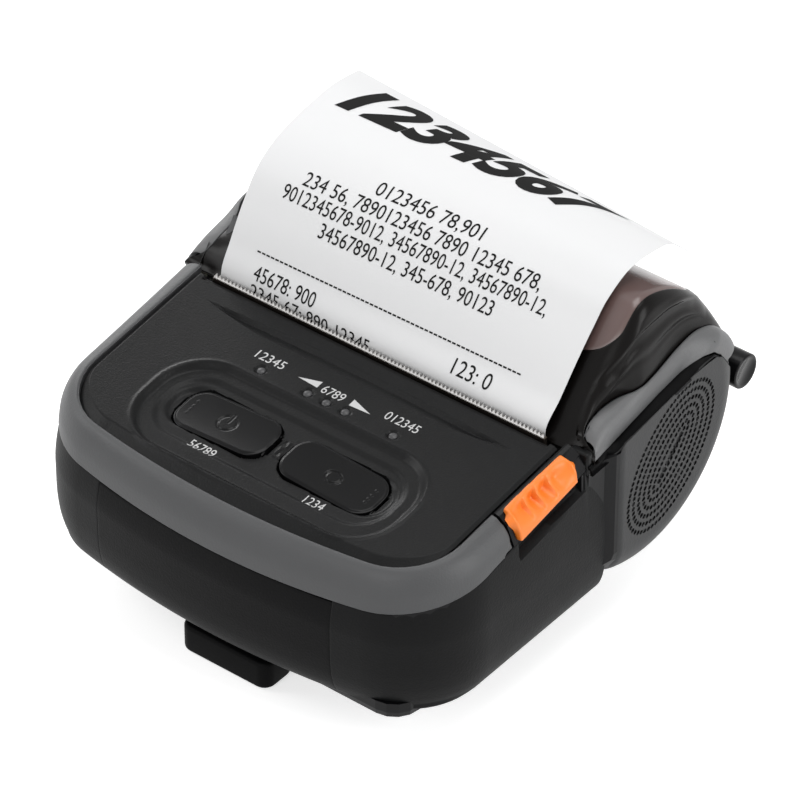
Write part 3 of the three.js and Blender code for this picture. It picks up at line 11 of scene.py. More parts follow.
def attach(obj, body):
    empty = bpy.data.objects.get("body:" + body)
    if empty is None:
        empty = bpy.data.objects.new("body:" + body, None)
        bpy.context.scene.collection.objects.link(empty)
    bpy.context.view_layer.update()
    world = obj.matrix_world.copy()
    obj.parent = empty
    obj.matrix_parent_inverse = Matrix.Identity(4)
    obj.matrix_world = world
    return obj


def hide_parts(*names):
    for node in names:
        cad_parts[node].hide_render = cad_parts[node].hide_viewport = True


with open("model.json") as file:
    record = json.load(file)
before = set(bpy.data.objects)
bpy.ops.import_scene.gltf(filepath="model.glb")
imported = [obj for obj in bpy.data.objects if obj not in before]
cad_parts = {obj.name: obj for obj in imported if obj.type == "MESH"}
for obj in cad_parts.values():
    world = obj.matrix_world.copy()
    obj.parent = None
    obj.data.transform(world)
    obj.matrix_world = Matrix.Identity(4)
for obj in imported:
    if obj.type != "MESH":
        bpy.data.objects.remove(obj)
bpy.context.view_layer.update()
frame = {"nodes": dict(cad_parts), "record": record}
MM = 0.001
scene = bpy.context.scene


# Materials: each noise is given as scale, detail and roughness
PATCHES = (60.0, 4.0, 0.6)
GRAIN, GRAIN_DEPTH = (2.0, 0.55), 0.0002
ROUGH_LEAST = 0.02
BRUSHED = Values(stretch=(40, 40, 1200), noise=(1.0, 3.0, 0.6), smooth=0.7, rough=1.3, dark=0.85, grain=0.15,
                 depth=0.0001)
MATS = {}
SMOKED = Values(clear=0.05, index=1.55, noise=(25.0, 3.0, 0.5), tones=(0.9, 1.1))


def node(tree, kind, **inputs):
    n = tree.nodes.new(kind)
    for key, value in inputs.items():
        n.inputs[key.replace("_", " ")].default_value = value
    return n


def new_material(name):
    m = MATS[name] = bpy.data.materials.new(name)
    m.use_nodes = True
    return m, m.node_tree, m.node_tree.nodes["Principled BSDF"]


def maths(tree, kind, a, b):
    """A maths node on two numbers or outputs."""
    n = tree.nodes.new("ShaderNodeMath")
    n.operation = kind
    for k, v in enumerate((a, b)):
        if isinstance(v, float):
            n.inputs[k].default_value = v
        else:
            tree.links.new(v, n.inputs[k])
    return n.outputs[0]


def noise(t, source, scale, detail, rough):
    """Noise that follows the piece, for tone, roughness and grain."""
    n = node(t, "ShaderNodeTexNoise", Scale=scale, Detail=detail, Roughness=rough)
    t.links.new(source, n.inputs["Vector"])
    return n.outputs["Fac"]


def toned(t, b, source, color, low, high):
    """Lets the colour wander between two shares of itself."""
    tone = node(t, "ShaderNodeMix")
    tone.data_type = "RGBA"
    tone.inputs["A"].default_value = (*[c * low for c in color], 1)
    tone.inputs["B"].default_value = (*[min(c * high, 1) for c in color], 1)
    t.links.new(source, tone.inputs["Factor"])
    t.links.new(tone.outputs["Result"], b.inputs["Base Color"])


def uneven(t, b, source, low, high):
    """Lets the roughness wander between two values."""
    spread = node(t, "ShaderNodeMapRange")
    spread.inputs["To Min"].default_value = low
    spread.inputs["To Max"].default_value = high
    t.links.new(source, spread.inputs["Value"])
    t.links.new(spread.outputs["Result"], b.inputs["Roughness"])


def bumped(t, b, source, strength, depth):
    bump = node(t, "ShaderNodeBump", Strength=strength, Distance=depth)
    t.links.new(source, bump.inputs["Height"])
    t.links.new(bump.outputs["Normal"], b.inputs["Normal"])


def plastic(name, color, rough=0.5, grain=0.0, scale=1800.0, spec=0.5, patch=0.08, spread=0.06):
    _, t, b = new_material(name)
    b.inputs["Specular IOR Level"].default_value = spec
    place = node(t, "ShaderNodeTexCoord").outputs["Object"]
    broad = noise(t, place, *PATCHES)
    uneven(t, b, broad, max(rough - spread, ROUGH_LEAST), rough + spread)
    toned(t, b, broad, color, 1 - patch, 1 + patch)
    if grain > 0:
        bumped(t, b, noise(t, place, scale, *GRAIN), grain, GRAIN_DEPTH)


def metal(name, color, rough=0.3):
    _, t, b = new_material(name)
    b.inputs["Metallic"].default_value = 1.0
    place = node(t, "ShaderNodeTexCoord").outputs["Object"]
    mapping = node(t, "ShaderNodeMapping")
    mapping.inputs["Scale"].default_value = BRUSHED.stretch
    t.links.new(place, mapping.inputs["Vector"])
    fine = noise(t, mapping.outputs["Vector"], *BRUSHED.noise)
    uneven(t, b, fine, rough * BRUSHED.smooth, rough * BRUSHED.rough)
    toned(t, b, fine, color, BRUSHED.dark, 1)
    bumped(t, b, fine, BRUSHED.grain, BRUSHED.depth)


def smoked(name, color, rough):
    _, t, b = new_material(name)
    b.inputs["Roughness"].default_value = rough
    b.inputs["Transmission Weight"].default_value = SMOKED.clear
    b.inputs["IOR"].default_value = SMOKED.index
    place = node(t, "ShaderNodeTexCoord").outputs["Object"]
    toned(t, b, noise(t, place, *SMOKED.noise), color, *SMOKED.tones)


plastic("black_plastic", (0.005, 0.005, 0.0055), 0.42, 0.1, 2600, spec=0.14)
plastic("gloss_black", (0.0035, 0.0035, 0.004), 0.22, 0.02, 1500, spec=0.15)
plastic("grained_black", (0.0045, 0.0046, 0.0048), 0.5, 0.3, 2200, spec=0.09)
plastic("satin_black", (0.0055, 0.0056, 0.0058), 0.34, 0.25, 2400, spec=0.13)
plastic("battery_black", (0.0035, 0.0035, 0.0037), 0.45, 0.25, 2200, spec=0.06)
plastic("drum_black", (0.031, 0.0314, 0.0322), 0.5, 0.35, 2200, spec=0.2)
plastic("satin_grey", (0.1, 0.101, 0.103), 0.46, 0.3, 2200, spec=0.45)
metal("bright_steel", (0.62, 0.61, 0.6), 0.35)
plastic("deep_black", (0.0025, 0.0025, 0.0027), 0.5, 0.1, 2200, spec=0.05)
plastic("key_black", (0.0035, 0.0035, 0.0038), 0.2, 0.04, 2400, spec=0.14)
plastic("print_ink", (0.012, 0.012, 0.012), 0.8, 0.0, 1500, spec=0.1)
plastic("label_white", (0.5, 0.5, 0.5), 0.6, 0.05, 1500)
plastic("grey_plastic", (0.055, 0.056, 0.058), 0.48, 0.3, 2200, spec=0.4)
plastic("smoky_plastic", (0.003, 0.0024, 0.0022), 0.26, 0.0, 1500, spec=0.12, spread=0.03)
smoked("window", (0.115, 0.072, 0.066), 0.24)
plastic("orange_plastic", (0.84, 0.2, 0.02), 0.42, 0.1, 2000)
metal("steel", (0.55, 0.55, 0.56))
metal("spring_steel", (0.45, 0.45, 0.47), 0.25)
metal("bronze_steel", (0.12, 0.1, 0.085), 0.35)
metal("zinc_screw", (0.5, 0.5, 0.52), 0.3)
metal("aluminium", (0.62, 0.63, 0.64), 0.35)
metal("motor_can", (0.5, 0.5, 0.52), 0.3)
metal("brass", (0.68, 0.5, 0.2), 0.3)
plastic("platen_rubber", (0.012, 0.012, 0.012), 0.75, 0.2, 3000)
plastic("flap_rubber", (0.014, 0.014, 0.015), 0.65, 0.25, 2500)
plastic("white_nylon", (0.72, 0.7, 0.64), 0.45, 0.05, 1500)
plastic("thermal_paper", (0.71, 0.712, 0.717), 0.6, 0.06, 1200, patch=0.01, spread=0.05)
plastic("roll_tube", (0.42, 0.32, 0.22), 0.85, 0.4, 900)
plastic("circuit_board", (0.015, 0.10, 0.045), 0.35, 0.05, 900)
plastic("light_pipe", (0.05, 0.05, 0.052), 0.3, 0.0, 900, spec=0.3, spread=0.02)

SLOT = {row["node"]: row["material_slot"] for row in frame["record"]["subparts"]}
# Solids that a finer skin covers are drawn in a little, so that they stay under it
WELD, PULLED_IN = 1e-6, 0.00028
SKINNED = ("lower_shell", "battery_pack", "bezel", "cover_shell", "cover_frame")
for name, obj in frame["nodes"].items():
    obj.data.materials.clear()
    obj.data.materials.append(MATS[SLOT[name]])
    if name in SKINNED:
        weld = obj.modifiers.new("weld", "WELD")
        weld.merge_threshold = WELD
        pull = obj.modifiers.new("pull", "DISPLACE")
        pull.strength, pull.mid_level = -PULLED_IN, 0


FAR = 100.0


def tuck_in(obj, left=FAR, right=FAR, behind=FAR, height=FAR):
    """Holds a solid within widths and a height, before a given depth, so that the skins stand proud of it."""
    tree = bpy.data.node_groups.new(obj.name + "_tuck", "GeometryNodeTree")
    for way in ("INPUT", "OUTPUT"):
        tree.interface.new_socket("Geometry", in_out=way, socket_type="NodeSocketGeometry")
    new, link = tree.nodes.new, tree.links.new
    start, end, move = new("NodeGroupInput"), new("NodeGroupOutput"), new("GeometryNodeSetPosition")
    parts, join = new("ShaderNodeSeparateXYZ"), new("ShaderNodeCombineXYZ")
    link(new("GeometryNodeInputPosition").outputs[0], parts.inputs[0])
    x, y, z = parts.outputs
    held_x = maths(tree, "MAXIMUM", maths(tree, "MINIMUM", x, right * MM), -left * MM)
    for k, value in enumerate((held_x, y, maths(tree, "MINIMUM", z, height * MM))):
        link(value, join.inputs[k])
    link(start.outputs[0], move.inputs["Geometry"])
    link(join.outputs[0], move.inputs["Position"])
    link(maths(tree, "LESS_THAN", y, behind * MM), move.inputs["Selection"])
    link(move.outputs[0], end.inputs[0])
    hold = obj.modifiers.new("tuck", "NODES")
    hold.node_group = tree


tuck_in(frame["nodes"]["cover_frame"], left=46.6, right=46.6, behind=36.5)
tuck_in(frame["nodes"]["tear_bar"], height=47.4)
tuck_in(frame["nodes"]["lower_shell"], left=50.6)


# Shapes, in millimetres
C_Y, C_Z, R_DRUM, W_DRUM, EDGE = 17.6, 39.6, 29.4, 52.2, 7.7
SEAM = 28.6  # half width of the battery pack in the case's front
SEAM_GAP, BATTERY_GAP = 0.12, 0.22
# Lower edge of the cover's side, then how far below it the case's left rim lies, and the right rim itself
EDGE_A = np.array([(-3, 44.9), (-0.6, 45.4), (1, 45.7), (21, 49.7), (30.7, 51.1), (33.5, 51.2), (36.2, 50.5),
                   (39.5, 47.4), (42.1, 43.6), (44.5, 41.2), (47.5, 40), (60, 40)], float)
REVEAL = np.array([2.6, 2.6, 2.6, 2.6, 2.4, 2.0, 1.3, 0.6, 0.4, 0.4, 0.4, 0.4])
RIGHT_RIM = np.array([(-0.9, 42.7), (4.8, 42.9), (8.2, 45.65), (21, 47.5), (30.7, 48.9), (33.5, 49.4),
                      (36.2, 49.5), (39.5, 47.0), (42.1, 43.2), (44.5, 40.8), (47.5, 39.6), (60, 39.6)])
LEFT_SHARE = 0.977  # how far out the left drum side stands, as a share of the right one
MIDDLE = np.array([0, C_Y, C_Z])


def polar(r, phi):
    """Depth and height at a distance and an angle in degrees about the drum's middle."""
    return C_Y + r * np.cos(np.radians(phi)), C_Z + r * np.sin(np.radians(phi))


def ease(x, a, b):
    t = np.clip((np.asarray(x, float) - a) / (b - a), 0, 1)
    return t * t * (3 - 2 * t)


def pchip(xs, ys):
    xs, ys = np.array(xs, float), np.array(ys, float)
    h = np.diff(xs)
    d = np.diff(ys) / h
    m = np.zeros(len(xs))
    m[0], m[-1] = d[0], d[-1]
    for i in range(1, len(xs) - 1):
        if d[i - 1] * d[i] > 0:
            w1, w2 = 2 * h[i] + h[i - 1], h[i] + 2 * h[i - 1]
            m[i] = (w1 + w2) / (w1 / d[i - 1] + w2 / d[i])

    def f(x):
        x = np.clip(np.asarray(x, float), xs[0], xs[-1])
        k = np.clip(np.searchsorted(xs, x) - 1, 0, len(xs) - 2)
        t = (x - xs[k]) / h[k]
        return ((1 + 2 * t) * (1 - t) ** 2 * ys[k] + t * (1 - t) ** 2 * h[k] * m[k]
                + t * t * (3 - 2 * t) * ys[k + 1] + t * t * (t - 1) * h[k] * m[k + 1])
    return f


def unit(v):
    return v / np.maximum(np.linalg.norm(v, axis=-1, keepdims=True), 1e-9)


def normals(P, outward):
    n = unit(np.cross(np.gradient(P, axis=0), np.gradient(P, axis=1)))
    return n if outward else -n


def rolled(P, sides, outward=True, r=0.25, depth=1.4, k=4):
    """Rounds the named borders of a patch and turns them inward: u and U are its first and last rows,
    v and V its first and last columns."""
    N = normals(P, outward)
    for side in sides:
        axis = 0 if side in "uU" else 1
        pick = (-1, -2) if side in "UV" else (0, 1)
        E, before, n = np.take(P, pick[0], axis), np.take(P, pick[1], axis), np.take(N, pick[0], axis)
        T = E - before
        T = unit(T - n * np.sum(T * n, axis=-1, keepdims=True))
        rows, row_n = [], []
        for q in range(1, k + 1):
            a = math.pi / 2 * q / k
            rows.append(E + T * r * math.sin(a) - n * r * (1 - math.cos(a)))
            row_n.append(unit(n * math.cos(a) + T * math.sin(a)))
        rows.append(E + T * r - n * (r + depth))
        row_n.append(T)
        rows, row_n = np.stack(rows, axis), np.stack(row_n, axis)
        if side in "uv":
            rows, row_n = np.flip(rows, axis), np.flip(row_n, axis)
        P = np.concatenate([P, rows] if side in "UV" else [rows, P], axis)
        N = np.concatenate([N, row_n] if side in "UV" else [row_n, N], axis)
    return P


def run_length(points):
    """Length along a line of points, from its start to each of them."""
    return np.concatenate([[0], np.cumsum(np.linalg.norm(np.diff(points, axis=0), axis=1))])


def between(at, run, points):
    """Points of a line at given values of what runs along it."""
    return np.stack([np.interp(at, run, c) for c in points.T], -1)


def resampled(points, count, start=0.0):
    """Points at even steps along a line, the last one left out, the first one moved on by start."""
    run = run_length(points)
    return between(np.linspace(0, run[-1], count + 1)[:-1] + start, run, points)


def grid_faces(nu, nv, flip=False, wrap=False, closed=False):
    """Faces of a grid, closed over its rows with wrap, and over its columns too with closed."""
    i = np.arange(nu if wrap else nu - 1)[:, None]
    j = np.arange(nv if closed else nv - 1)[None, :]
    a, b = i * nv, ((i + 1) % nu) * nv
    j1 = (j + 1) % nv
    f = np.stack([a + j, b + j, b + j1, a + j1], -1).reshape(-1, 4)
    return f[:, ::-1] if flip else f


def mesh_piece(name, verts, faces, material, body, slot=None, sharp=35, weld=0.0):
    me = bpy.data.meshes.new(name)
    me.from_pydata((np.asarray(verts, float).reshape(-1, 3) * MM).tolist(), [], [list(f) for f in faces])
    me.update()
    ob = bpy.data.objects.new(name, me)
    scene.collection.objects.link(ob)
    me.materials.append(MATS[material])
    if weld:
        bm = bmesh.new()
        bm.from_mesh(me)
        bmesh.ops.remove_doubles(bm, verts=bm.verts, dist=weld * MM)
        bm.to_mesh(me)
        bm.free()
    me.shade_smooth()
    if sharp:
        me.set_sharp_from_angle(angle=math.radians(sharp))
    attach(ob, body)
    return ob


def patches(name, grids, material, body, **kw):
    """One piece from several grids of points, each given with the way its own normal points."""
    verts, faces, start = [], [], 0
    for P, outward in grids:
        verts.append(P.reshape(-1, 3))
        faces.append(grid_faces(*P.shape[:2], flip=not outward) + start)
        start += P.shape[0] * P.shape[1]
    return mesh_piece(name, np.concatenate(verts), np.concatenate(faces).tolist(), material, body, **kw)


def patch(name, P, outward, r, depth, material, body, **kw):
    """One piece from one grid of points, rounded and turned in along all its borders."""
    grid = rolled(P, "uUvV", outward=outward, r=r, depth=depth)
    return patches(name, [(grid, outward)], material, body, **kw)


def mirror_x(P):
    return P * np.array([-1.0, 1.0, 1.0])


def outline_right(half, front, bulge, corner, rear, x0=0.0, n=(40, 36, 40)):
    """Right half of a plan outline, from x0 on the front to the rear end of the side."""
    lean = math.atan(2 * bulge / (half - corner))
    start = half - corner + corner * math.sin(lean)
    centre = front + bulge + corner * math.cos(lean)
    q = np.linspace(x0 / start, 1, n[0])
    part1 = np.stack([start * q, front + bulge * q * q], -1)
    ang = np.radians(np.linspace(-90 + math.degrees(lean), 0, n[1] + 1)[1:])
    part2 = np.stack([half - corner + corner * np.cos(ang), centre + corner * np.sin(ang)], -1)
    y = np.linspace(centre, rear, n[2] + 1)[1:]
    part3 = np.stack([np.full_like(y, half), y], -1)
    return np.concatenate([part1, part2, part3])


# Parting plane below the bezel, and the plane of the top panel
PARTING = Values(z=32.8, slope=0.2)
PANEL = Values(z=42.0, slope=0.12, front=-48.2)


def parting_z(y):
    return PARTING.z + PARTING.slope * (y - CASE.front)


def panel_z(y):
    return PANEL.z + PANEL.slope * (y - PANEL.front)


# Front of the case: three sections below the bezel, the middle one on the battery pack
# Inset and corner by height, a lean above lean_from, and a right side that steps down behind the latch
CASE = Values(half=50.6, front=-54.2, bulge=3.5, corner=20, bottom=10.0, rear=4.8,
              lean_from=27, lean=0.9, lean_power=1.5)
INSET = pchip([10, 10.6, 11.7, 13.6, 16.2, 20, 24], [3.4, 2.4, 1.6, 0.85, 0.33, 0.06, 0.0])
CORNER = pchip([10, 11.7, 16.2, 24], [13.4, 18.1, 19.6, 20])
RIGHT_TOP = Values(z=41.7, start=-1.8, end=-0.9)


def right_top(y):
    drop = ease(y, RIGHT_TOP.start, RIGHT_TOP.end)
    return parting_z(y) + (RIGHT_TOP.z - parting_z(y)) * drop


def case_grid(x0, rear, top, n, rows):
    half, front, bulge = CASE.half, CASE.front, CASE.bulge
    out = []
    for share in np.linspace(0, 1, rows):
        base = outline_right(half, front, bulge, CASE.corner, rear, x0, n)
        high = top(base[:, 1])
        z = CASE.bottom + (high - CASE.bottom) * share
        climb = np.clip((z - CASE.lean_from) / np.maximum(high - CASE.lean_from, 0.1), 0, 1)
        inset = np.where(z < CASE.lean_from, INSET(z), CASE.lean * climb ** CASE.lean_power)
        ring = [outline_right(half - i, front + i, bulge, c, rear, x0, n)[k]
                for k, (i, c) in enumerate(zip(inset, CORNER(z)))]
        out.append(np.column_stack([np.array(ring), z]))
    return np.array(out)


def under_cover(y, right=False):
    if right:
        return np.interp(y, RIGHT_RIM[:, 0], RIGHT_RIM[:, 1])
    return np.interp(y, EDGE_A[:, 0], EDGE_A[:, 1] - REVEAL)


def case_top(y):
    top = parting_z(y)
    return np.where(y > RIGHT_TOP.end, np.minimum(top, under_cover(y)), top)


HOLLOW = Values(deep=1.7, tall=4.2, run_in=0.7, front=(-21.9, -20.9), rear=(-2.4, -1.4), from_x=48.5)


def latch_hollow(y, z):
    """The finger hollow in the case's side under the latch."""
    low = parting_z(y) - HOLLOW.tall
    along = ease(y, *HOLLOW.front) * (1 - ease(y, *HOLLOW.rear))
    return HOLLOW.deep * ease(z, low, low + HOLLOW.run_in) * along


def case_sides():
    count, rows = (16, 36, 90), 64
    left = mirror_x(case_grid(SEAM + SEAM_GAP, CASE.rear, case_top, count, rows))
    right = case_grid(SEAM + SEAM_GAP, CASE.rear, right_top, count, rows)
    on_side = right[..., 0] > HOLLOW.from_x
    right[..., 0] -= np.where(on_side, latch_hollow(right[..., 1], right[..., 2]), 0)
    # rows run upward and columns to the rear, so the right grid's own normal points inward
    grids = [(rolled(G, "uUv", outward=way, r=0.3, depth=0.9), way)
             for G, way in ((right, False), (left, True))]
    patches("case_sides", grids, "grained_black", "case")


FACE = Values(rear=-50.75, top=32.75, columns=46, rows=48)


def battery_face():
    columns = FACE.columns
    grid = case_grid(0, FACE.rear, lambda y: np.minimum(parting_z(y), FACE.top),
                     (columns, 1, 1), FACE.rows)[:, :columns]
    xs = np.linspace(0, SEAM - BATTERY_GAP, columns)
    half = np.array([between(xs, row[:, 0], row) for row in grid])
    P = np.concatenate([mirror_x(half)[:, :0:-1], half], axis=1)
    patch("battery_face", P, False, 0.3, 0.9, "battery_black", "battery")


# Drum sides and barrel of the case
# The side steps in towards the front body, with a fine groove along the step
STEP = Values(deep=1.75, front=4.7, rear=8.2, power=1.3, line=0.25, line_y=5.1, line_wide=0.5)


def side_step(y):
    return STEP.deep * (1 - ease(y, STEP.front, STEP.rear)) ** STEP.power


def side_x(y, z):
    round_part = np.clip(np.hypot(y - C_Y, z - C_Z) - (R_DRUM - EDGE), 0, EDGE)
    x = W_DRUM - EDGE + np.sqrt(np.maximum(EDGE ** 2 - round_part ** 2, 0))
    return x - side_step(y) - STEP.line * np.exp(-((y - STEP.line_y) / STEP.line_wide) ** 2)


GRILLE = Values(y=22.9, z=33.3, long=17.0, short=11.6, tilt=47.0, border=0.6)
HOLES = Values(rings=8, first=0.9, ring_step=1.7, step=1.2, core_step=1.05, narrowest=0.2, shift=0.5,
               deep=1.1, radius=(0.36, 0.46), reach=0.8)


def grille_holes():
    """Rings of small holes, each ring an equal step inside the last, round a straight middle row."""
    holes = []
    for ring in range(HOLES.rings):
        inset = HOLES.first + HOLES.ring_step * ring
        a, b = GRILLE.long - inset, GRILLE.short - inset
        if b < HOLES.narrowest:
            n = max(int(2 * a / HOLES.core_step), 1)
            holes += [(u, 0.0) for u in np.linspace(-a, a, n)] if a > 0 else []
            break
        t = np.linspace(0, 2 * math.pi, 4001)
        oval = np.stack([a * np.cos(t), b * np.sin(t)], -1)
        count = int(run_length(oval)[-1] / HOLES.step)
        holes += resampled(oval, count, (ring % 2) * HOLES.shift).tolist()
    return np.array(holes)


def oval_to_side(u, v):
    c, s = math.cos(math.radians(GRILLE.tilt)), math.sin(math.radians(GRILLE.tilt))
    return GRILLE.y + u * c - v * s, GRILLE.z + u * s + v * c


def grille_patch(n=216):
    g = np.linspace(-1, 1, n)
    a, b = np.meshgrid(g, g, indexing="ij")
    long, short = GRILLE.long + GRILLE.border, GRILLE.short + GRILLE.border
    u, v = long * a * np.sqrt(1 - b * b / 2), short * b * np.sqrt(1 - a * a / 2)
    y, z = oval_to_side(u, v)
    dip = np.zeros_like(u)
    for hu, hv in grille_holes():
        near = (np.abs(u - hu) < HOLES.reach) & (np.abs(v - hv) < HOLES.reach)
        d = np.hypot(u[near] - hu, v[near] - hv)
        dip[near] = np.maximum(dip[near], HOLES.deep * (1 - ease(d, *HOLES.radius)))
    return np.stack([side_x(y, z) - dip, y, z], -1)


def side_ring(border, right, n=26):
    """From the grille's border outward to the drum's edge, the cover's edge or the crease."""
    E = np.array([GRILLE.y, GRILLE.z])
    dirs = border[:, 1:] - E
    start = np.linalg.norm(dirs, axis=1)
    dirs = dirs / start[:, None]
    reach = np.linspace(0, 60, 6001)[None, :]
    y, z = E[0] + dirs[:, :1] * reach, E[1] + dirs[:, 1:] * reach
    inside = (np.hypot(y - C_Y, z - C_Z) < R_DRUM) & (y > CASE.rear) & (z < under_cover(y, right))
    end = reach[0, np.argmin(inside, axis=1)]
    yb, zb = E[0] + dirs[:, 0] * end, E[1] + dirs[:, 1] * end
    q = np.hypot(yb - C_Y, zb - C_Z)
    barrel = q > R_DRUM - 0.03
    fine = np.sin(np.linspace(0, math.pi / 2, 400))
    rows = []
    for k in range(len(dirs)):
        d = start[k] + (end[k] - start[k]) * fine
        yy, zz = E[0] + dirs[k, 0] * d, E[1] + dirs[k, 1] * d
        xx = side_x(yy, zz)
        if barrel[k]:
            yy[-1], zz[-1] = C_Y + (yb[k] - C_Y) * R_DRUM / q[k], C_Z + (zb[k] - C_Z) * R_DRUM / q[k]
            xx[-1] = W_DRUM - EDGE - side_step(yy[-1])
        line = np.stack([xx, yy, zz], -1)
        rows.append(np.concatenate([resampled(line, n - 1), line[-1:]]))
    return np.array(rows), barrel


def drum_half(inner, border, right):
    ring, barrel = side_ring(border, right)
    first = int(np.argmax(barrel & ~np.roll(barrel, 1)))
    order = np.roll(np.arange(len(ring)), -first)
    ring, barrel = ring[order], barrel[order]
    count = int(barrel.sum())
    edge = ring[:count, -1]
    xs = np.linspace(1, 0, 18)[1:]
    half = np.stack([np.stack([edge[:, 0] * x, edge[:, 1], edge[:, 2]], -1) for x in xs], 1)
    half = np.concatenate([ring[:count, -1:], half], 1)
    closed = np.concatenate([ring, ring[:1]])
    outward_ring = np.mean(normals(closed, True)[..., 0]) > 0
    # the ring's border that no barrel carries on is the rim under the cover
    lip = rolled(ring[count - 1:], "V", outward=outward_ring, r=0.12, depth=0.2)[:, ring.shape[1] - 1:]
    outward_inner = np.mean(normals(inner, True)[..., 0]) > 0
    grids = [(inner, outward_inner), (closed, outward_ring), (half, outward_ring), (lip, outward_ring)]
    if right:
        return grids
    return [(mirror_x(g) * [LEFT_SHARE, 1, 1], not way) for g, way in grids]


def drum_case():
    inner = grille_patch()
    border = np.concatenate([inner[:-1, 0], inner[-1, :-1], inner[:0:-1, -1], inner[0, :0:-1]])
    grids = drum_half(inner, border, True) + drum_half(inner, border, False)
    skin = patches("drum_case", grids, "drum_black", "case", weld=0.004, sharp=50)
    skin.data.materials.append(MATS["deep_black"])
    # the grille holes are real dips, and their floors also take the deep black: painted shade for the dark
    # inside of the holes
    middles = np.zeros(len(skin.data.polygons) * 3)
    skin.data.polygons.foreach_get("center", middles)
    x, y, z = middles.reshape(-1, 3).T / MM
    deep = side_x(y, z) * np.where(x < 0, LEFT_SHARE, 1) - np.abs(x)
    near = np.hypot(y - GRILLE.y, z - GRILLE.z) < GRILLE.long + 1
    inside = (np.hypot(y - C_Y, z - C_Z) < R_DRUM - 2) & (np.abs(x) > 48)
    hole_floor_shade = (deep > 0.2) & (deep < 1.5) & near & inside
    skin.data.polygons.foreach_set("material_index", hole_floor_shade.astype(np.int32))


# Bezel: grey frame round the top panel
RISE = pchip([0, 0.28, 0.52, 0.74, 0.9, 1], [0, 0.36, 0.72, 0.9, 0.98, 1])
SHARE = pchip([0, 0.28, 0.52, 0.74, 0.9, 1], [0, 0.1, 0.38, 0.64, 0.86, 1])


# Outline at the bezel's foot and at its top: half width, front, bulge and corner
BEZEL_LOW, BEZEL_HIGH = (49.7, -53.3, 3.5, 19.1), (45.2, -49.2, 2.6, 14)
BEZEL = Values(gap=0.25, left_end=-1.1, right_end=-23.9, right_bow=2.2, rows=26)


def bezel_grid(rear):
    out = []
    for t in np.linspace(0, 1, BEZEL.rows):
        low = outline_right(*BEZEL_LOW, rear(t), n=(40, 36, 30))
        high = outline_right(*BEZEL_HIGH, rear(t), n=(40, 36, 30))
        xy = low + (high - low) * SHARE(t)
        z0, z1 = parting_z(xy[:, 1]) + BEZEL.gap, panel_z(xy[:, 1])
        out.append(np.column_stack([xy, z0 + (z1 - z0) * RISE(t)]))
    return np.array(out)


def bezel_skin():
    right = bezel_grid(lambda t: BEZEL.right_end - BEZEL.right_bow * abs(2 * t - 1) ** 3)
    left = mirror_x(bezel_grid(lambda t: BEZEL.left_end))
    P = np.concatenate([left[:, :0:-1], right], axis=1)
    patch("bezel_skin", P, False, 0.35, 1.2, "grey_plastic", "case")


# Cover: smoky shell round the window, satin strips at its sides
def drum_r(phi):
    c = np.cos(np.radians(phi - 138.2))
    flat = np.where(c > 0.05, 17.7 / np.maximum(c, 0.05), 1e3)
    return R_DRUM * ((flat / R_DRUM) ** -14 + 1) ** (-1 / 14)


# Wall: place across of its top, rounding, the flat's half width, length, and the share of it that bends
WALL_TOP, WALL_ROUND, FLAT, WALL_LONG, BENT = 46.7, 3.2, 43.5, 12.0, 0.35
LEFT_TOP, LEFT_FLAT = 42.3, 39.3
# Foot of the cover's end wall round the drum: angle, place across and distance from the drum's middle
FOOT = [(3, 48.6, 28.9), (12.3, 48.3, 28.7), (28, 48.1, 26.6), (39.2, 48, 23.2), (52.2, 48.1, 17.9),
        (62, 48.35, 15.2), (74, 48.6, 13.4), (87, 48.7, 12.5), (98, 48.2, 12.3), (110, 46.9, 12.6),
        (120.2, 46.1, 13.3), (131.4, 45.7, 14.7), (141, 45.7, 16.3), (149, 46.2, 17.3), (154.5, 47.8, 17.5),
        (158, 49.6, 17.3), (160, 50.1, 17.5), (162, 50.15, 18.4)]
FOOT_X = pchip([f[0] for f in FOOT], [f[1] for f in FOOT])
FOOT_R = pchip([f[0] for f in FOOT], [f[2] for f in FOOT])


def cover_point(phi, s):
    """Point of the cover's outside: phi is the angle about the drum, s runs from the middle over the rounded
    edge (43.5 to 47.7) and down the end wall to its foot (55.5)."""
    top_x, flat_x = np.where(s < 0, LEFT_TOP, WALL_TOP), np.where(s < 0, LEFT_FLAT, FLAT)
    power = np.where(s < 0, 2.0, 1.0)
    s = np.abs(s)
    phi = np.asarray(phi, float) + 0 * s
    foot_x, deep = FOOT_X(phi), np.maximum(drum_r(phi) - FOOT_R(phi), 0.15)
    bend = np.minimum(WALL_ROUND, 0.7 * deep)
    w = np.clip((s - FLAT) / WALL_LONG, 0, 1)
    a = np.clip(w / BENT, 0, 1) * math.pi / 2
    drop = np.where(w < BENT, bend * (1 - np.cos(a)), bend + (deep - bend) * (w - BENT) / (1 - BENT))
    wall = np.minimum(top_x, foot_x + 0.4)
    wall = wall + (foot_x - wall) * np.clip(drop / deep, 0, 1) ** power
    x = np.where(s < FLAT, s * flat_x / FLAT, flat_x + (wall - flat_x) * np.where(w < BENT, np.sin(a), 1))
    return np.stack([x, *polar(drum_r(phi) - drop, phi)], -1)


def cover_normal(phi, s):
    dp = cover_point(phi + 0.2, s) - cover_point(phi - 0.2, s)
    way = np.where(s < 0, -1.0, 1.0)
    ds = cover_point(phi, way * (np.abs(s) + 0.02)) - cover_point(phi, way * np.maximum(np.abs(s) - 0.02, 0))
    n = unit(np.cross(dp, ds))
    away = (cover_point(phi, s) - MIDDLE) * [0.2, 1, 1]
    return n * np.sign(np.sum(n * away, -1, keepdims=True))


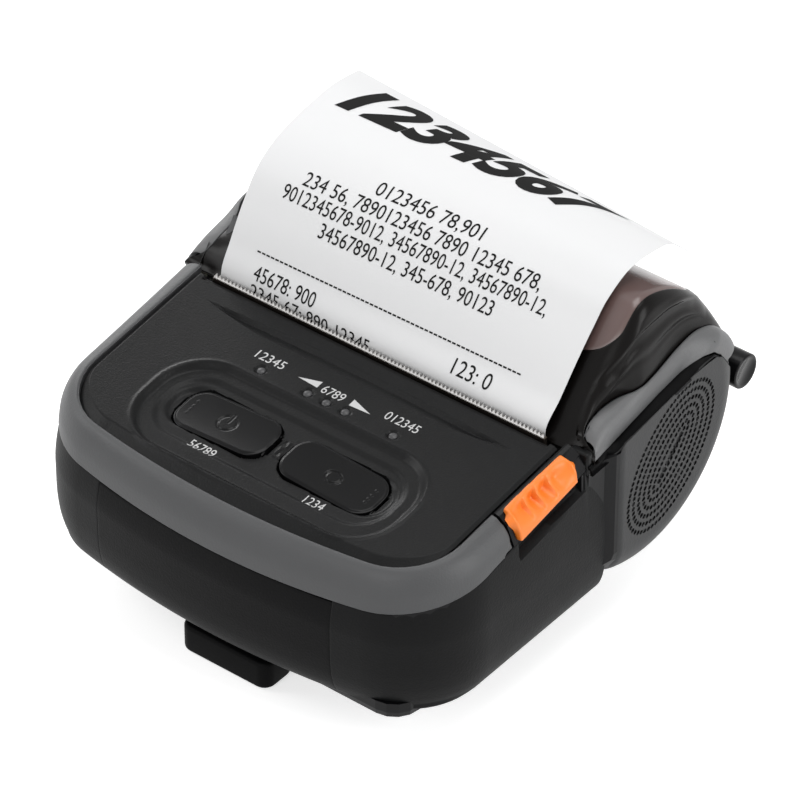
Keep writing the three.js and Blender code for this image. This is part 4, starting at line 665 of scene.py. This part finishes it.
def edge_radius(phi):
    """Distance from the drum's middle to the cover's lower edge."""
    reach = np.linspace(5, 34, 2901)
    out = []
    for p in phi:
        y, z = polar(reach, p)
        out.append(reach[np.argmax(z > np.interp(y, EDGE_A[:, 0], EDGE_A[:, 1]))])
    return np.minimum(np.array(out), drum_r(phi) - 0.05)


CREST = pchip([37, 49.3, 61.7, 80.7, 95.3, 110.3, 118.3, 122.7, 131.7],
              [44.4, 45.8, 47.1, 48.4, 46.6, 44.9, 44.0, 42.6, 38.6])
CREST_END = 132.0
FRONT, REAR = 161.0, 3.0
PHI = np.linspace(0, 180, 721)
LENGTH = run_length(cover_point(PHI, 0 * PHI))


def phi_at(length):
    return np.interp(length, LENGTH, PHI)


def length_at(phi):
    return np.interp(phi, PHI, LENGTH)


WINDOW = Values(half=44.7, front=106.8, rear=38.5, corner=7.5)
WINDOW_MIDDLE = np.array([(length_at(WINDOW.front) + length_at(WINDOW.rear)) / 2, 0.0])


def window_loop(grow, n=130):
    """Rounded outline of the window: length along the section and place across."""
    la, lb = length_at(WINDOW.rear) - grow, length_at(WINDOW.front) + grow
    half, c = WINDOW.half + grow, WINDOW.corner + grow
    pts = []
    corners = ((half - c, lb - c), (-half + c, lb - c), (-half + c, la + c), (half - c, la + c))
    for (cx, cl), a0 in zip(corners, (0, 90, 180, 270)):
        a = np.radians(np.linspace(a0, a0 + 90, 25))
        pts.append(np.stack([cl + c * np.sin(a), cx + c * np.cos(a)], -1))
    return resampled(np.concatenate(pts + [pts[0][:1]]), 4 * n)


def shell_outer(dirs):
    """The shell's outer border seen from the window's middle."""
    edge = FLAT + WALL_LONG
    phi = np.linspace(REAR, FRONT, 241)
    across = np.linspace(edge, -edge, 121)
    side = np.stack([length_at(phi), np.full(241, edge)], -1)
    front = np.stack([np.full(121, length_at(FRONT)), across], -1)
    rear = np.stack([np.full(121, length_at(REAR)), -across], -1)
    loop = np.concatenate([side, front[1:-1], side[::-1] * [1, -1], rear[1:-1]]) - WINDOW_MIDDLE
    ang = np.unwrap(np.arctan2(loop[:, 0], loop[:, 1]))
    ang, loop = np.concatenate([ang - 2 * math.pi, ang, ang + 2 * math.pi]), np.concatenate([loop] * 3)
    if ang[0] > ang[-1]:
        ang, loop = ang[::-1], loop[::-1]
    want = np.unwrap(np.arctan2(dirs[:, 0], dirs[:, 1]))
    return between(want, ang, loop) + WINDOW_MIDDLE


def shell_relief(phi, s):
    """A crisp ridge that runs along the cover's shoulder, with a soft channel below it."""
    a = np.abs(s)
    d = np.maximum(a - CREST(phi), (phi - CREST_END) * 0.51)
    live = ease(phi, 34, 46) * ease(a, 31, 36) * (1 - ease(a, 51.5, 54)) * (1 - ease(phi, 106, 121))
    return live * (0.1 * np.exp(-(d / 0.5) ** 2) - 0.42 * ease(d, 0.0, 0.75) + 0.42 * ease(d, 1.5, 3.1)
                   - 0.16 * np.exp(-((d - 4.1) / 0.6) ** 2))


def place(L, s, lift):
    phi = phi_at(L)
    side = np.where(s < 0, -1.0, 1.0)
    P, N = cover_point(phi, s), cover_normal(phi, s)
    P = P + N * lift[..., None]
    P[..., 0] *= side
    return P


def ring_solid(P, thickness, r):
    """Closed shell from a grid whose rows go round and whose columns go outward."""
    closed = np.concatenate([P, P[:1]])
    outward = np.mean(np.sum(normals(closed, True) * (closed - MIDDLE), -1)) > 0
    both_edges = rolled(closed, "vV", outward=outward, r=r, depth=thickness - 2 * r)
    inner = (closed - normals(closed, outward) * thickness)[:, ::-1]
    full = np.concatenate([both_edges, inner], axis=1)[:-1]
    return full, grid_faces(*full.shape[:2], flip=not outward, wrap=True, closed=True).tolist()


def cover_skin():
    inner = window_loop(0.25)
    outer = shell_outer(inner - WINDOW_MIDDLE)
    share = np.linspace(0, 1, 88)
    grid = inner[:, None, :] + (outer - inner)[:, None, :] * share[None, :, None]
    L, s = grid[..., 0], grid[..., 1]
    P = place(L, s, shell_relief(phi_at(L), s))
    full, faces = ring_solid(P, 1.5, 0.3)
    skin = mesh_piece("cover_skin", full, faces, "smoky_plastic", "cover", sharp=45)
    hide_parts("cover_shell")


def window_pane():
    rows = np.concatenate([np.linspace(0.001, 0.97, 26), np.linspace(0.975, 1, 5)])
    top = WINDOW_MIDDLE + (window_loop(0.0) - WINDOW_MIDDLE)[:, None, :] * rows[None, :, None]
    L, s = top[..., 0], top[..., 1]
    raised = 0.08 * ease(1 - rows, 0.0, 0.01)[None, :] - 0.2
    outer = place(L, s, raised + 0 * L)
    inner = place(L, s, -1.55 + 0 * L)
    full = np.concatenate([outer, inner[:, ::-1]], axis=1)
    n = np.cross(full[1, 5] - full[0, 5], full[0, 6] - full[0, 5])
    inside_out = np.dot(n, full[0, 5] - MIDDLE) < 0
    faces = grid_faces(*full.shape[:2], flip=inside_out, wrap=True).tolist()
    pane = mesh_piece("window_pane", full, faces, "window", "cover", weld=0.06, sharp=40)
    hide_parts("cover_window")


STRIP_EDGE = Values(x=50.15, rear_out=2.0, below=1.0, start=27, end=36.5)


def strip_edge(y):
    """Outer edge of the satin strip, a little inside the case's side, and out at the side at the rear."""
    back = ease(y, STRIP_EDGE.start, STRIP_EDGE.end)
    x = STRIP_EDGE.x + STRIP_EDGE.rear_out * back
    return x, np.interp(y, EDGE_A[:, 0], EDGE_A[:, 1]) - STRIP_EDGE.below * (1 - back)


def satin_strips():
    phi = np.concatenate([np.linspace(152.5, 140, 24), np.linspace(139, REAR + 1, 150)])
    plain_y = polar(edge_radius(phi), phi)[0]
    kept = plain_y < 40.8
    phi, plain_y = phi[kept], plain_y[kept]
    foot_x = FOOT_X(phi) + 0.35
    foot_y, foot_z = polar(FOOT_R(phi), phi)
    edge_y = plain_y + (1.0 - plain_y[0]) * (1 - ease(np.arange(len(phi)), 0, 40))
    edge_x, edge_z = strip_edge(edge_y)
    t = np.linspace(0, math.pi / 2, 26)[None, :]
    c, q = np.cos(t) ** 0.84, np.sin(t) ** 0.84
    x = foot_x[:, None] + (edge_x - foot_x)[:, None] * c
    y = edge_y[:, None] + (foot_y - edge_y)[:, None] * q
    z = edge_z[:, None] + np.maximum(foot_z - edge_z, 0.15)[:, None] * q
    grids = []
    for side in (1.0, -1.0):
        P = np.stack([x * side, y, z], -1)
        outward = np.mean(normals(P, True)[..., 0]) * side > 0
        grids.append((rolled(P, "uUvV", outward=outward, r=0.15, depth=0.7), outward))
    patches("satin_strips", grids, "satin_grey", "cover")


def case_ledge():
    """Step between the case's right edge and the strip on the cover. It is real geometry that fills the gap,
    in deep black as painted shade for the shaded recess under the strip.
    """
    y = np.linspace(-0.6, 38, 120)
    rim = under_cover(y, True)
    edge_x, edge_z = strip_edge(y)
    share = np.linspace(0, 1, 8)[None, :]
    outer = 52.05
    x = outer + (edge_x - 0.25 - outer)[:, None] * share
    z = (rim - 0.12)[:, None] + (edge_z - 0.5 - rim)[:, None] * share
    x = np.minimum(x, side_x(y, rim)[:, None] - 0.1 + 0 * share)
    P = np.stack([x, y[:, None] + 0 * share, z], -1)
    # deep black here is painted shade for the recess under the strip
    patch("case_ledge", P, False, 0.1, 0.5, "deep_black", "case")


def soft_block(name, low, high, corner, edge, material, body):
    """Block with rounded upright corners and rounded top and bottom edges."""
    low, high = np.array(low, float), np.array(high, float)
    middle, half = (low + high) / 2, (high - low) / 2
    bend = [(edge * (1 - math.cos(a)), edge * (1 - math.sin(a))) for a in np.linspace(0.3, math.pi / 2, 5)]
    levels = [(low[2], edge)] + [(low[2] + rise, inset) for rise, inset in bend]
    levels += [(high[2] - rise, inset) for rise, inset in bend[::-1]] + [(high[2], edge)]
    rows = []
    for z, inset in levels:
        ring = []
        for sx, sy, a0 in ((1, 1, 0), (-1, 1, 90), (-1, -1, 180), (1, -1, 270)):
            for a in np.radians(np.linspace(a0, a0 + 90, 9)):
                r = corner - inset
                ring.append([middle[0] + sx * (half[0] - corner) + r * math.cos(a),
                             middle[1] + sy * (half[1] - corner) + r * math.sin(a), z])
        rows.append(ring)
    P = np.transpose(np.array(rows), (1, 0, 2))
    nu, nv = P.shape[:2]
    faces = grid_faces(nu, nv, wrap=True).tolist()
    faces += [[i * nv for i in range(nu)][::-1], [i * nv + nv - 1 for i in range(nu)]]
    return mesh_piece(name, P, faces, material, body, sharp=50)


def hinge_barrel():
    """Smooth end of the hinge barrel at the case's right rear corner."""
    middle_y, middle_z, radius, start, end, edge = 50.5, 35.75, 3.72, 44.2, 49.9, 0.35
    rows = [(start, radius)] + [(end - edge + edge * math.sin(a), radius - edge + edge * math.cos(a))
                                for a in np.linspace(0, math.pi / 2, 5)]
    rows += [(end, radius - 0.8), (end - 0.12, radius - 0.95), (end - 0.12, 0.01)]
    t = np.linspace(0, 2 * math.pi, 65)[:-1]
    P = np.array([[[x, middle_y + r * math.cos(q), middle_z + r * math.sin(q)] for x, r in rows] for q in t])
    faces = grid_faces(*P.shape[:2], flip=True, wrap=True).tolist()
    faces.append([i * P.shape[1] for i in range(64)])
    mesh_piece("hinge_barrel_end", P, faces, "gloss_black", "case", weld=0.02, sharp=40)


def tear_teeth():
    """Fine-toothed steel edge that the paper is torn on."""
    x = np.linspace(-40.4, 40.4, 1441)
    saw = 1 - 2 * np.abs((x / 0.9) % 1 - 0.5)
    depth = np.array([0.0, 0.25, 0.6, 1.0])[None, :]
    tip, low = (-1.5, 48.25), (-2.0, 47.4)
    reach = (0.12 + 0.88 * saw[:, None]) * (1 - depth)
    y, z = low[0] + (tip[0] - low[0]) * reach, low[1] + (tip[1] - low[1]) * reach
    P = np.stack([x[:, None] + 0 * depth, y, z], -1)
    patch("tear_teeth", P, True, 0.05, 0.25, "bright_steel", "case", sharp=30)


def underside():
    soft_block("cover_nose", (45.4, -0.9, 41.9), (49.9, 0.9, 47.0), 0.7, 0.5, "satin_black", "cover")
    soft_block("clip_tip", (-10.9, -49.4, 0.05), (10.9, -40.5, 6.4), 2.6, 0.9, "deep_black", "case")


# Top panel: one field of heights with the tray, the wells and the channels
PANEL_HALF, PANEL_REAR, PANEL_CORNER = 44.0, -2.7, 13.0
KEY = Values(x=13.05, y=-31.15, half=11.1, depth=5.25, corner=4.1)
LEDS = [(x, -17.2) for x in (-16.13, -4.69, -0.11, 4.5, 16.14)]
TRAY_DEEP, WELL_DEEP, HOLE_DEEP = 1.45, 0.75, 2.6
PANEL_BULGE = 2.6
CHANNEL = Values(half=39.5, deep=0.75, low_share=0.68)


def rounded_distance(x, y, half_x, half_y, corner):
    """Distance to a rounded rectangle's outline, negative inside."""
    qx, qy = np.abs(x) - (half_x - corner), np.abs(y) - (half_y - corner)
    return np.hypot(np.maximum(qx, 0), np.maximum(qy, 0)) + np.minimum(np.maximum(qx, qy), 0) - corner


def panel_front(x):
    x = np.abs(x)
    start = PANEL_HALF - PANEL_CORNER
    base = PANEL.front + PANEL_BULGE * np.minimum(x / start, 1) ** 2 * (start / PANEL_HALF)
    round_part = PANEL_CORNER - np.sqrt(np.maximum(PANEL_CORNER ** 2 - np.maximum(x - start, 0) ** 2, 0))
    return base + round_part


def panel_relief(x, y):
    # the rim falls away to the front edge
    bulge = PANEL_BULGE * np.minimum(np.abs(x) / 31, 1) ** 2 * 0.7
    d_front = -rounded_distance(x, y - bulge - (PANEL.front + 40), PANEL_HALF, 40, PANEL_CORNER)
    side = ease(np.abs(x), 30, 40) * ease(y, -44, -34)
    width = 2.5 - 1.8 * side
    h = -1.15 * np.clip(1 - d_front / width, 0, 1) * (1 - 0.6 * side)
    out = rounded_distance(x - 0.2, y + 32.15, 31.7, 12.75, 11)
    low = rounded_distance(x, y + 31.6, 28.0, 8.4, 7.4)
    wall = 0.7 * ease(-out, 0.1, 1.7) + 0.3 * ease(-low, -0.4, 0.9)
    h += 0.18 * np.exp(-(out / 0.4) ** 2) - TRAY_DEEP * wall
    for sign in (-1, 1):
        xk = (x - sign * KEY.x) * sign
        well = rounded_distance(xk - 1.5, y - KEY.y, KEY.half + 1.4, KEY.depth + 0.7, 5.6)
        dish = ease(xk, 3.0, KEY.half) * ease(-well, 0.0, 1.5)
        h -= WELL_DEEP * dish
        hole = rounded_distance(xk, y - KEY.y, KEY.half, KEY.depth, KEY.corner) - 0.3
        h = np.where(hole < 0.1, h - HOLE_DEEP, h)
    for xl, yl in LEDS:
        h -= 0.45 * (1 - ease(np.hypot(x - xl, y - yl), 1.05, 1.4))
    # two fine raised lines between the keys
    along = np.clip(y, -32.9, -28.7)
    for x0, lean in ((-0.1, -0.108), (0.85, -0.117)):
        d = np.hypot(x - (x0 + lean * (along + 32.9)), y - along)
        h += 0.28 * (1 - ease(d, 0.14, 0.4))
    # the channel behind the lamps, and the step down at the rear edge
    upper = -6.75 - 1.35 * (x / CHANNEL.half) ** 2
    lower = -10.0 + 1.9 * ease(np.abs(x), 22, CHANNEL.half)
    v = np.clip((y - lower) / np.maximum(upper - lower, 0.05), 0, 1)
    inside = (np.abs(x) < CHANNEL.half) & (y > lower) & (y < upper)
    slope = np.minimum(v / CHANNEL.low_share, (1 - v) / (1 - CHANNEL.low_share))
    h -= np.where(inside, CHANNEL.deep * slope * ease(upper - lower, 0, 1.6), 0)
    h -= 0.75 * ease(y, -3.85, -3.25) * (1 - ease(np.abs(x), 41.8, 42.4))
    return h


def panel_skin():
    nu, nv = 340, 200
    u = np.sin(np.linspace(-1, 1, nu) * 1.42) / math.sin(1.42)
    x = np.repeat((PANEL_HALF * u)[:, None], nv, 1)
    front = panel_front(x)
    y = front + (PANEL_REAR - front) * np.linspace(0, 1, nv)[None, :]
    P = np.stack([x, y, panel_z(y) + panel_relief(x, y)], -1)
    skin = patch("panel_skin", P, True, 0.12, 1.2, "satin_black", "case", sharp=30)
    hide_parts("top_panel")


def engraved(distance):
    """Depth of a sign's line at a distance from its middle."""
    return 0.2 * (1 - ease(distance, 0.12, 0.34))


def key_caps():
    for sign, body, node_name in ((-1, "power_key", "power_button"), (1, "feed_key", "feed_button")):
        a, b = np.sin(np.linspace(-1, 1, 170) * 1.45) / math.sin(1.45), np.linspace(-1, 1, 84)
        x = np.repeat((KEY.half * a)[:, None], 84, 1)
        end = np.maximum(np.abs(x) - (KEY.half - KEY.corner), 0)
        reach = KEY.depth - KEY.corner + np.sqrt(np.maximum(KEY.corner ** 2 - end ** 2, 0))
        y = reach * b[None, :]
        top = 0.45 - TRAY_DEEP - 0.62 * x / KEY.half - 0.25 * (1 - (y / KEY.depth) ** 2)
        edge = -rounded_distance(x, y, KEY.half, KEY.depth, KEY.corner)
        top -= 0.22 * (1 - ease(edge, 0, 0.55))
        if sign < 0:
            ring = np.abs(np.hypot(x, y) - 1.95)
            gap = (np.abs(x) < 0.75) & (y > 0)
            stroke = np.hypot(x, y - np.clip(y, 0.3, 2.3))
            top -= np.where(gap, 0, engraved(ring)) + engraved(stroke)
        else:
            drop = np.abs(np.hypot(x, y + 0.3 * np.maximum(y, 0)) - 1.7)
            top -= engraved(drop)
        for dy in (-1.6, -0.55, 0.5, 1.9):
            d = np.hypot(x - 8.7, y - dy)
            top += 0.2 * (1 - ease(d, 0.12, 0.36))
        yy = y + KEY.y
        P = np.stack([(x * sign) + sign * KEY.x, yy, panel_z(yy) + top], -1)
        cap = patch(body + "_cap", P, sign > 0, 0.2, 2.0, "key_black", body, sharp=40)
        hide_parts(node_name)


def dome(x, y, z, radius, height, tilt=0.0, n=20, rings=6):
    rows = []
    for q in np.linspace(0, math.pi / 2, rings):
        r, h = radius * math.cos(q), height * math.sin(q)
        t = np.linspace(0, 2 * math.pi, n + 1)[:-1]
        rows.append(np.stack([x + r * np.cos(t), y + r * np.sin(t), z + h + tilt * r * np.sin(t)], -1))
    base = rows[0] - [0, 0, 0.6]
    return np.stack([base] + rows, 1)


def led_domes():
    for k, (x, y) in enumerate(LEDS):
        P = dome(x, y, panel_z(y) - 0.4, 0.9, 0.36, 0.12)
        cap = mesh_piece("led_dome_%d" % (k + 1), P, grid_faces(*P.shape[:2], wrap=True).tolist(),
                         "light_pipe", "case", weld=0.002)
        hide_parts("status_led_%d" % (k + 1))


# Latch button with its scooped, stepped outer edge
def latch_cap():
    nt, ny = 70, 110
    t = np.linspace(0.05, 1, nt)
    y = np.linspace(-21.3, -4.7, ny)
    T, Y = np.meshgrid(t, y, indexing="ij")
    v = (Y - y[0]) / (y[-1] - y[0])
    proud = 0.7
    x = BEZEL_LOW[0] + proud - 4.1 * SHARE(T)
    z0, z1 = parting_z(Y) + 0.6, panel_z(Y) + proud * 0.8
    z = z0 + (z1 - z0) * RISE(T)
    swell = np.sin(math.pi * np.clip(v, 0, 1)) ** 0.75
    band = np.exp(-((T - (0.62 - 0.1 * v)) / 0.24) ** 2)
    step = 0.0
    for c in (0.24, 0.45, 0.66):
        step = step + 1.35 * ease(v, c - 0.015, c + 0.02) * (1 - ease(v, c + 0.035, c + 0.17))
    dig = swell * band * (2.6 - step)
    x, z = x - 0.75 * dig, z - 0.65 * dig
    P = np.stack([x, Y, z], -1)
    cap = patch("latch_cap", P, False, 0.4, 1.4, "orange_plastic", "latch", sharp=32)
    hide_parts("latch_button")


# Receipt strip with plain figures
STRIP_HALF = 39.75
# Depth and height along the strip's left and right edges
STRIP_LEFT = [(-0.9, 45.4), (-0.75, 48.1), (2.4, 54.6), (6.2, 61), (11.4, 67.6), (17.4, 71), (23.7, 72.6),
              (34, 73.7), (42.3, 72.7)]
STRIP_RIGHT = [(-0.9, 45.4), (-0.75, 48), (3.6, 52.9), (8.8, 58.9), (13.6, 63.9), (18.1, 68.1), (26.4, 71.3),
               (36, 70.2), (44.7, 63.5)]


def smooth_curve(points, n=400):
    p = np.array(points, float)
    t = run_length(p)
    fy, fz = pchip(t, p[:, 0]), pchip(t, p[:, 1])
    at = np.linspace(0, t[-1], n)
    return np.stack([fy(at), fz(at)], -1), t[-1]


LEFT_CURVE, LEFT_LONG = smooth_curve(STRIP_LEFT)
RIGHT_CURVE, RIGHT_LONG = smooth_curve(STRIP_RIGHT)


def strip_point(x, share):
    """Point of the receipt at x across and a share of its length from the tear bar."""
    k = np.clip(share, 0, 1) * (len(LEFT_CURVE) - 1)
    i = np.arange(len(LEFT_CURVE))
    w = (x / STRIP_HALF + 1) / 2
    out = []
    for c in (0, 1):
        left, right = np.interp(k, i, LEFT_CURVE[:, c]), np.interp(k, i, RIGHT_CURVE[:, c])
        out.append(left + (right - left) * w)
    return np.stack([x + 0 * k, out[0], out[1]], -1)


def strip_lift(x, share, lift):
    P = strip_point(x, share)
    du = strip_point(x, np.minimum(share + 0.004, 1)) - strip_point(x, np.maximum(share - 0.004, 0))
    right, left = np.minimum(x + 0.2, STRIP_HALF), np.maximum(x - 0.2, -STRIP_HALF)
    dx = strip_point(right, share) - strip_point(left, share)
    return P + unit(np.cross(dx, du)) * lift


def receipt():
    s, x = np.meshgrid(np.linspace(0, 1, 120), np.linspace(-STRIP_HALF, STRIP_HALF, 70), indexing="ij")
    top, under = strip_lift(x, s, 0.05), strip_lift(x, s, -0.05)
    nu, nv = s.shape
    f = grid_faces(nu, nv, flip=True)
    count = nu * nv
    faces = [list(q) for q in f] + [list(q[::-1] + count) for q in f]
    rim = [i * nv for i in range(nu)] + [(nu - 1) * nv + j for j in range(1, nv)]
    rim += [i * nv + nv - 1 for i in range(nu - 2, -1, -1)] + [j for j in range(nv - 2, 0, -1)]
    for a, b in zip(rim, rim[1:] + rim[:1]):
        faces.append([a, b, b + count, a + count])
    sheet = mesh_piece("receipt_sheet", np.concatenate([top.reshape(-1, 3), under.reshape(-1, 3)]), faces,
                       "thermal_paper", "cover", sharp=60)
    bm = bmesh.new()
    bm.from_mesh(sheet.data)
    bmesh.ops.recalc_face_normals(bm, faces=bm.faces)
    bm.to_mesh(sheet.data)
    bm.free()
    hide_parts("receipt_paper")


def text_mesh(text, size, shear, bold, cuts):
    """Flat figures as loose points and faces, cut into bands so that they can follow a curve."""
    curve = bpy.data.curves.new("figures", "FONT")
    curve.body, curve.size, curve.shear, curve.offset = text, size, shear, bold
    curve.resolution_u = 5
    ob = bpy.data.objects.new("figures", curve)
    scene.collection.objects.link(ob)
    deps = bpy.context.evaluated_depsgraph_get()
    me = bpy.data.meshes.new_from_object(ob.evaluated_get(deps))
    bm = bmesh.new()
    bm.from_mesh(me)
    low, high = min(v.co.y for v in bm.verts), max(v.co.y for v in bm.verts)
    for level in np.arange(low + cuts, high, cuts):
        everything = bm.verts[:] + bm.edges[:] + bm.faces[:]
        bmesh.ops.bisect_plane(bm, geom=everything, plane_co=(0, level, 0), plane_no=(0, 1, 0))
    bmesh.ops.triangulate(bm, faces=bm.faces)
    verts = np.array([[v.co.x, v.co.y] for v in bm.verts])
    faces = [[v.index for v in f.verts] for f in bm.faces]
    bm.free()
    bpy.data.objects.remove(ob)
    bpy.data.meshes.remove(me)
    return verts, faces


def join_text(name, parts, material, body):
    verts, faces, start = [], [], 0
    for v, f in parts:
        verts.append(v)
        faces += [[i + start for i in face] for face in f]
        start += len(v)
    mesh_piece(name, np.concatenate(verts), faces, material, body, sharp=0)


def receipt_figures(rows):
    long = (LEFT_LONG + RIGHT_LONG) / 2
    parts = []
    for text, x0, x1, along, tall, shear, bold in rows:
        v, f = text_mesh(text, tall * 1.42, shear, bold, 0.7)
        x = x0 + (v[:, 0] - v[:, 0].min()) * (x1 - x0) / np.ptp(v[:, 0])
        parts.append((strip_lift(x, (along + v[:, 1]) / long, 0.11), f))
    join_text("receipt_figures", parts, "print_ink", "cover")


# Receipt rows: figures, their left and right ends, place along the strip, height, slant and boldness
ROWS = [
    ("1234567", -35.5, 27.5, 46.0, 9.6, 0.35, 0.6),
    ("0123456 78,901", -14.7, 10.2, 29.9, 3.1, 0.0, 0.0),
    ("234 56, 7890123456 7890 12345 678,", -29.3, 26.2, 25.7, 3.1, 0.0, 0.0),
    ("9012345678-9012, 34567890-12, 34567890-12,", -32.3, 29.6, 21.8, 3.1, 0.0, 0.0),
    ("34567890-12, 345-678, 90123", -21.7, 19.2, 17.6, 3.1, 0.0, 0.0),
    ("-" * 58, -33.1, 30.1, 9.3, 2.6, 0.0, 0.0),
    ("45678: 900", -32.2, -17.2, 4.6, 3.1, 0.0, 0.0),
    ("123: 0", 16.2, 25.2, 4.9, 3.1, 0.0, 0.0),
    ("2345 67: 890-12345", -32.2, -2.7, 0.7, 3.1, 0.0, 0.0),
]
# Panel labels: figures, their middle and width; arrows: tip, base and place to the rear
LABELS = [("12345", -16.2, -14.1, 6.8), ("6789", -0.3, -14.7, 5.2), ("012345", 15.6, -13.6, 7.9),
          ("56789", -12.7, -39.0, 6.1), ("1234", 14.3, -38.6, 4.5)]
ARROWS = [(-8.9, -4.0, -14.3), (9.1, 4.1, -14.7)]


def panel_labels():
    parts = []
    for text, middle_x, middle_y, wide in LABELS:
        v, f = text_mesh(text, 3.1, 0.0, 0.0, 0.8)
        middle = (v.min(0) + v.max(0)) / 2
        x = middle_x + (v[:, 0] - middle[0]) * wide / np.ptp(v[:, 0])
        y = middle_y + v[:, 1] - middle[1]
        parts.append((np.stack([x, y, panel_z(y) + panel_relief(x, y) + 0.03], -1), f))
    for tip, base, y0 in ARROWS:
        x, y = np.array([tip, base, base]), np.array([y0 - 0.6, y0 - 0.9, y0 + 0.9])
        parts.append((np.stack([x, y, panel_z(y) + 0.03], -1), [[0, 1, 2] if tip < base else [0, 2, 1]]))
    join_text("panel_labels", parts, "label_white", "case")


case_sides()
battery_face()
drum_case()
bezel_skin()
cover_skin()
window_pane()
satin_strips()
case_ledge()
hinge_barrel()
tear_teeth()
underside()
panel_skin()
key_caps()
led_domes()
latch_cap()
receipt()
receipt_figures(ROWS)
panel_labels()


# Camera, floor and light
# Turn about the printer, tilt and distance, then the shift of the picture's middle and the point looked at
CAMERA = Values(turn=0.67102, tilt=0.66841, distance=1150.0, right=-3.824, up=-18.9, aim=(0, -0.9, 12))
SENSOR, LENS = 36, 5881.6 / 800 * 36


def camera():
    a, e = CAMERA.turn, CAMERA.tilt
    back = Vector((math.sin(a) * math.cos(e), -math.cos(a) * math.cos(e), math.sin(e)))
    right = Vector((math.cos(a), math.sin(a), 0))
    up = Vector((-math.sin(a) * math.sin(e), math.cos(a) * math.sin(e), math.cos(e)))
    place = back * CAMERA.distance - right * CAMERA.right - up * CAMERA.up + Vector(CAMERA.aim)
    data = bpy.data.cameras.new("camera")
    data.sensor_width, data.lens = SENSOR, LENS
    data.clip_start, data.clip_end = 0.01, 20
    cam = bpy.data.objects.new("camera", data)
    scene.collection.objects.link(cam)
    rotation = Matrix((right, up, back)).transposed().to_4x4()
    cam.matrix_world = Matrix.Translation(place * MM) @ rotation
    scene.camera = cam


def seen_white(tree, strength):
    """Strength of a white glow that only the camera, mirrors and glass see."""
    rays = node(tree, "ShaderNodeLightPath").outputs
    either = maths(tree, "MAXIMUM", rays["Is Camera Ray"], rays["Is Glossy Ray"])
    return maths(tree, "MULTIPLY", maths(tree, "MAXIMUM", either, rays["Is Transmission Ray"]), strength)


FLOOR_GLOW, WORLD_GLOW, WORLD_LIGHT = 0.62, 0.7, 0.3
# Lamps: name, place, point aimed at, size and power
LAMPS = [("overhead", (0.05, 0.15, 0.95), (0, 0, 0.03), (0.7, 0.5), 4.0),
         ("left", (-0.75, -0.35, 0.55), (0, 0, 0.03), (0.4, 0.5), 2.8),
         ("front", (0.1, -0.95, 0.55), (0, 0, 0.03), (0.6, 0.4), 3.0),
         ("left rear", (-0.8, 0.5, 0.45), (0, 0, 0.04), (0.4, 0.4), 3.0),
         ("right", (0.85, 0.15, 0.4), (0, 0, 0.03), (0.4, 0.6), 4.5)]


def floor():
    bpy.ops.mesh.primitive_plane_add(size=6, location=(0, 0, -0.0001))
    f = bpy.context.object
    f.name = "floor"
    m, t, b = new_material("floor")
    b.inputs["Base Color"].default_value = (0.8, 0.8, 0.8, 1)
    b.inputs["Roughness"].default_value = 0.8
    b.inputs["Specular IOR Level"].default_value = 0.1
    b.inputs["Emission Color"].default_value = (1, 1, 1, 1)
    t.links.new(seen_white(t, FLOOR_GLOW), b.inputs["Emission Strength"])
    f.data.materials.append(m)


def area(name, place, aim, size, power):
    data = bpy.data.lights.new(name, "AREA")
    data.shape = "RECTANGLE"
    data.size, data.size_y = size
    data.energy = power
    lamp = bpy.data.objects.new(name, data)
    scene.collection.objects.link(lamp)
    lamp.location = place
    lamp.rotation_euler = (Vector(aim) - Vector(place)).to_track_quat("-Z", "Y").to_euler()


def lights():
    world = bpy.data.worlds.new("world")
    scene.world = world
    world.use_nodes = True
    tree = world.node_tree
    back = tree.nodes["Background"]
    back.inputs["Color"].default_value = (1, 1, 1, 1)
    tree.links.new(maths(tree, "ADD", seen_white(tree, WORLD_GLOW), WORLD_LIGHT), back.inputs["Strength"])
    for lamp in LAMPS:
        area(*lamp)


camera()
floor()
lights()
scene.view_settings.view_transform = "Standard"
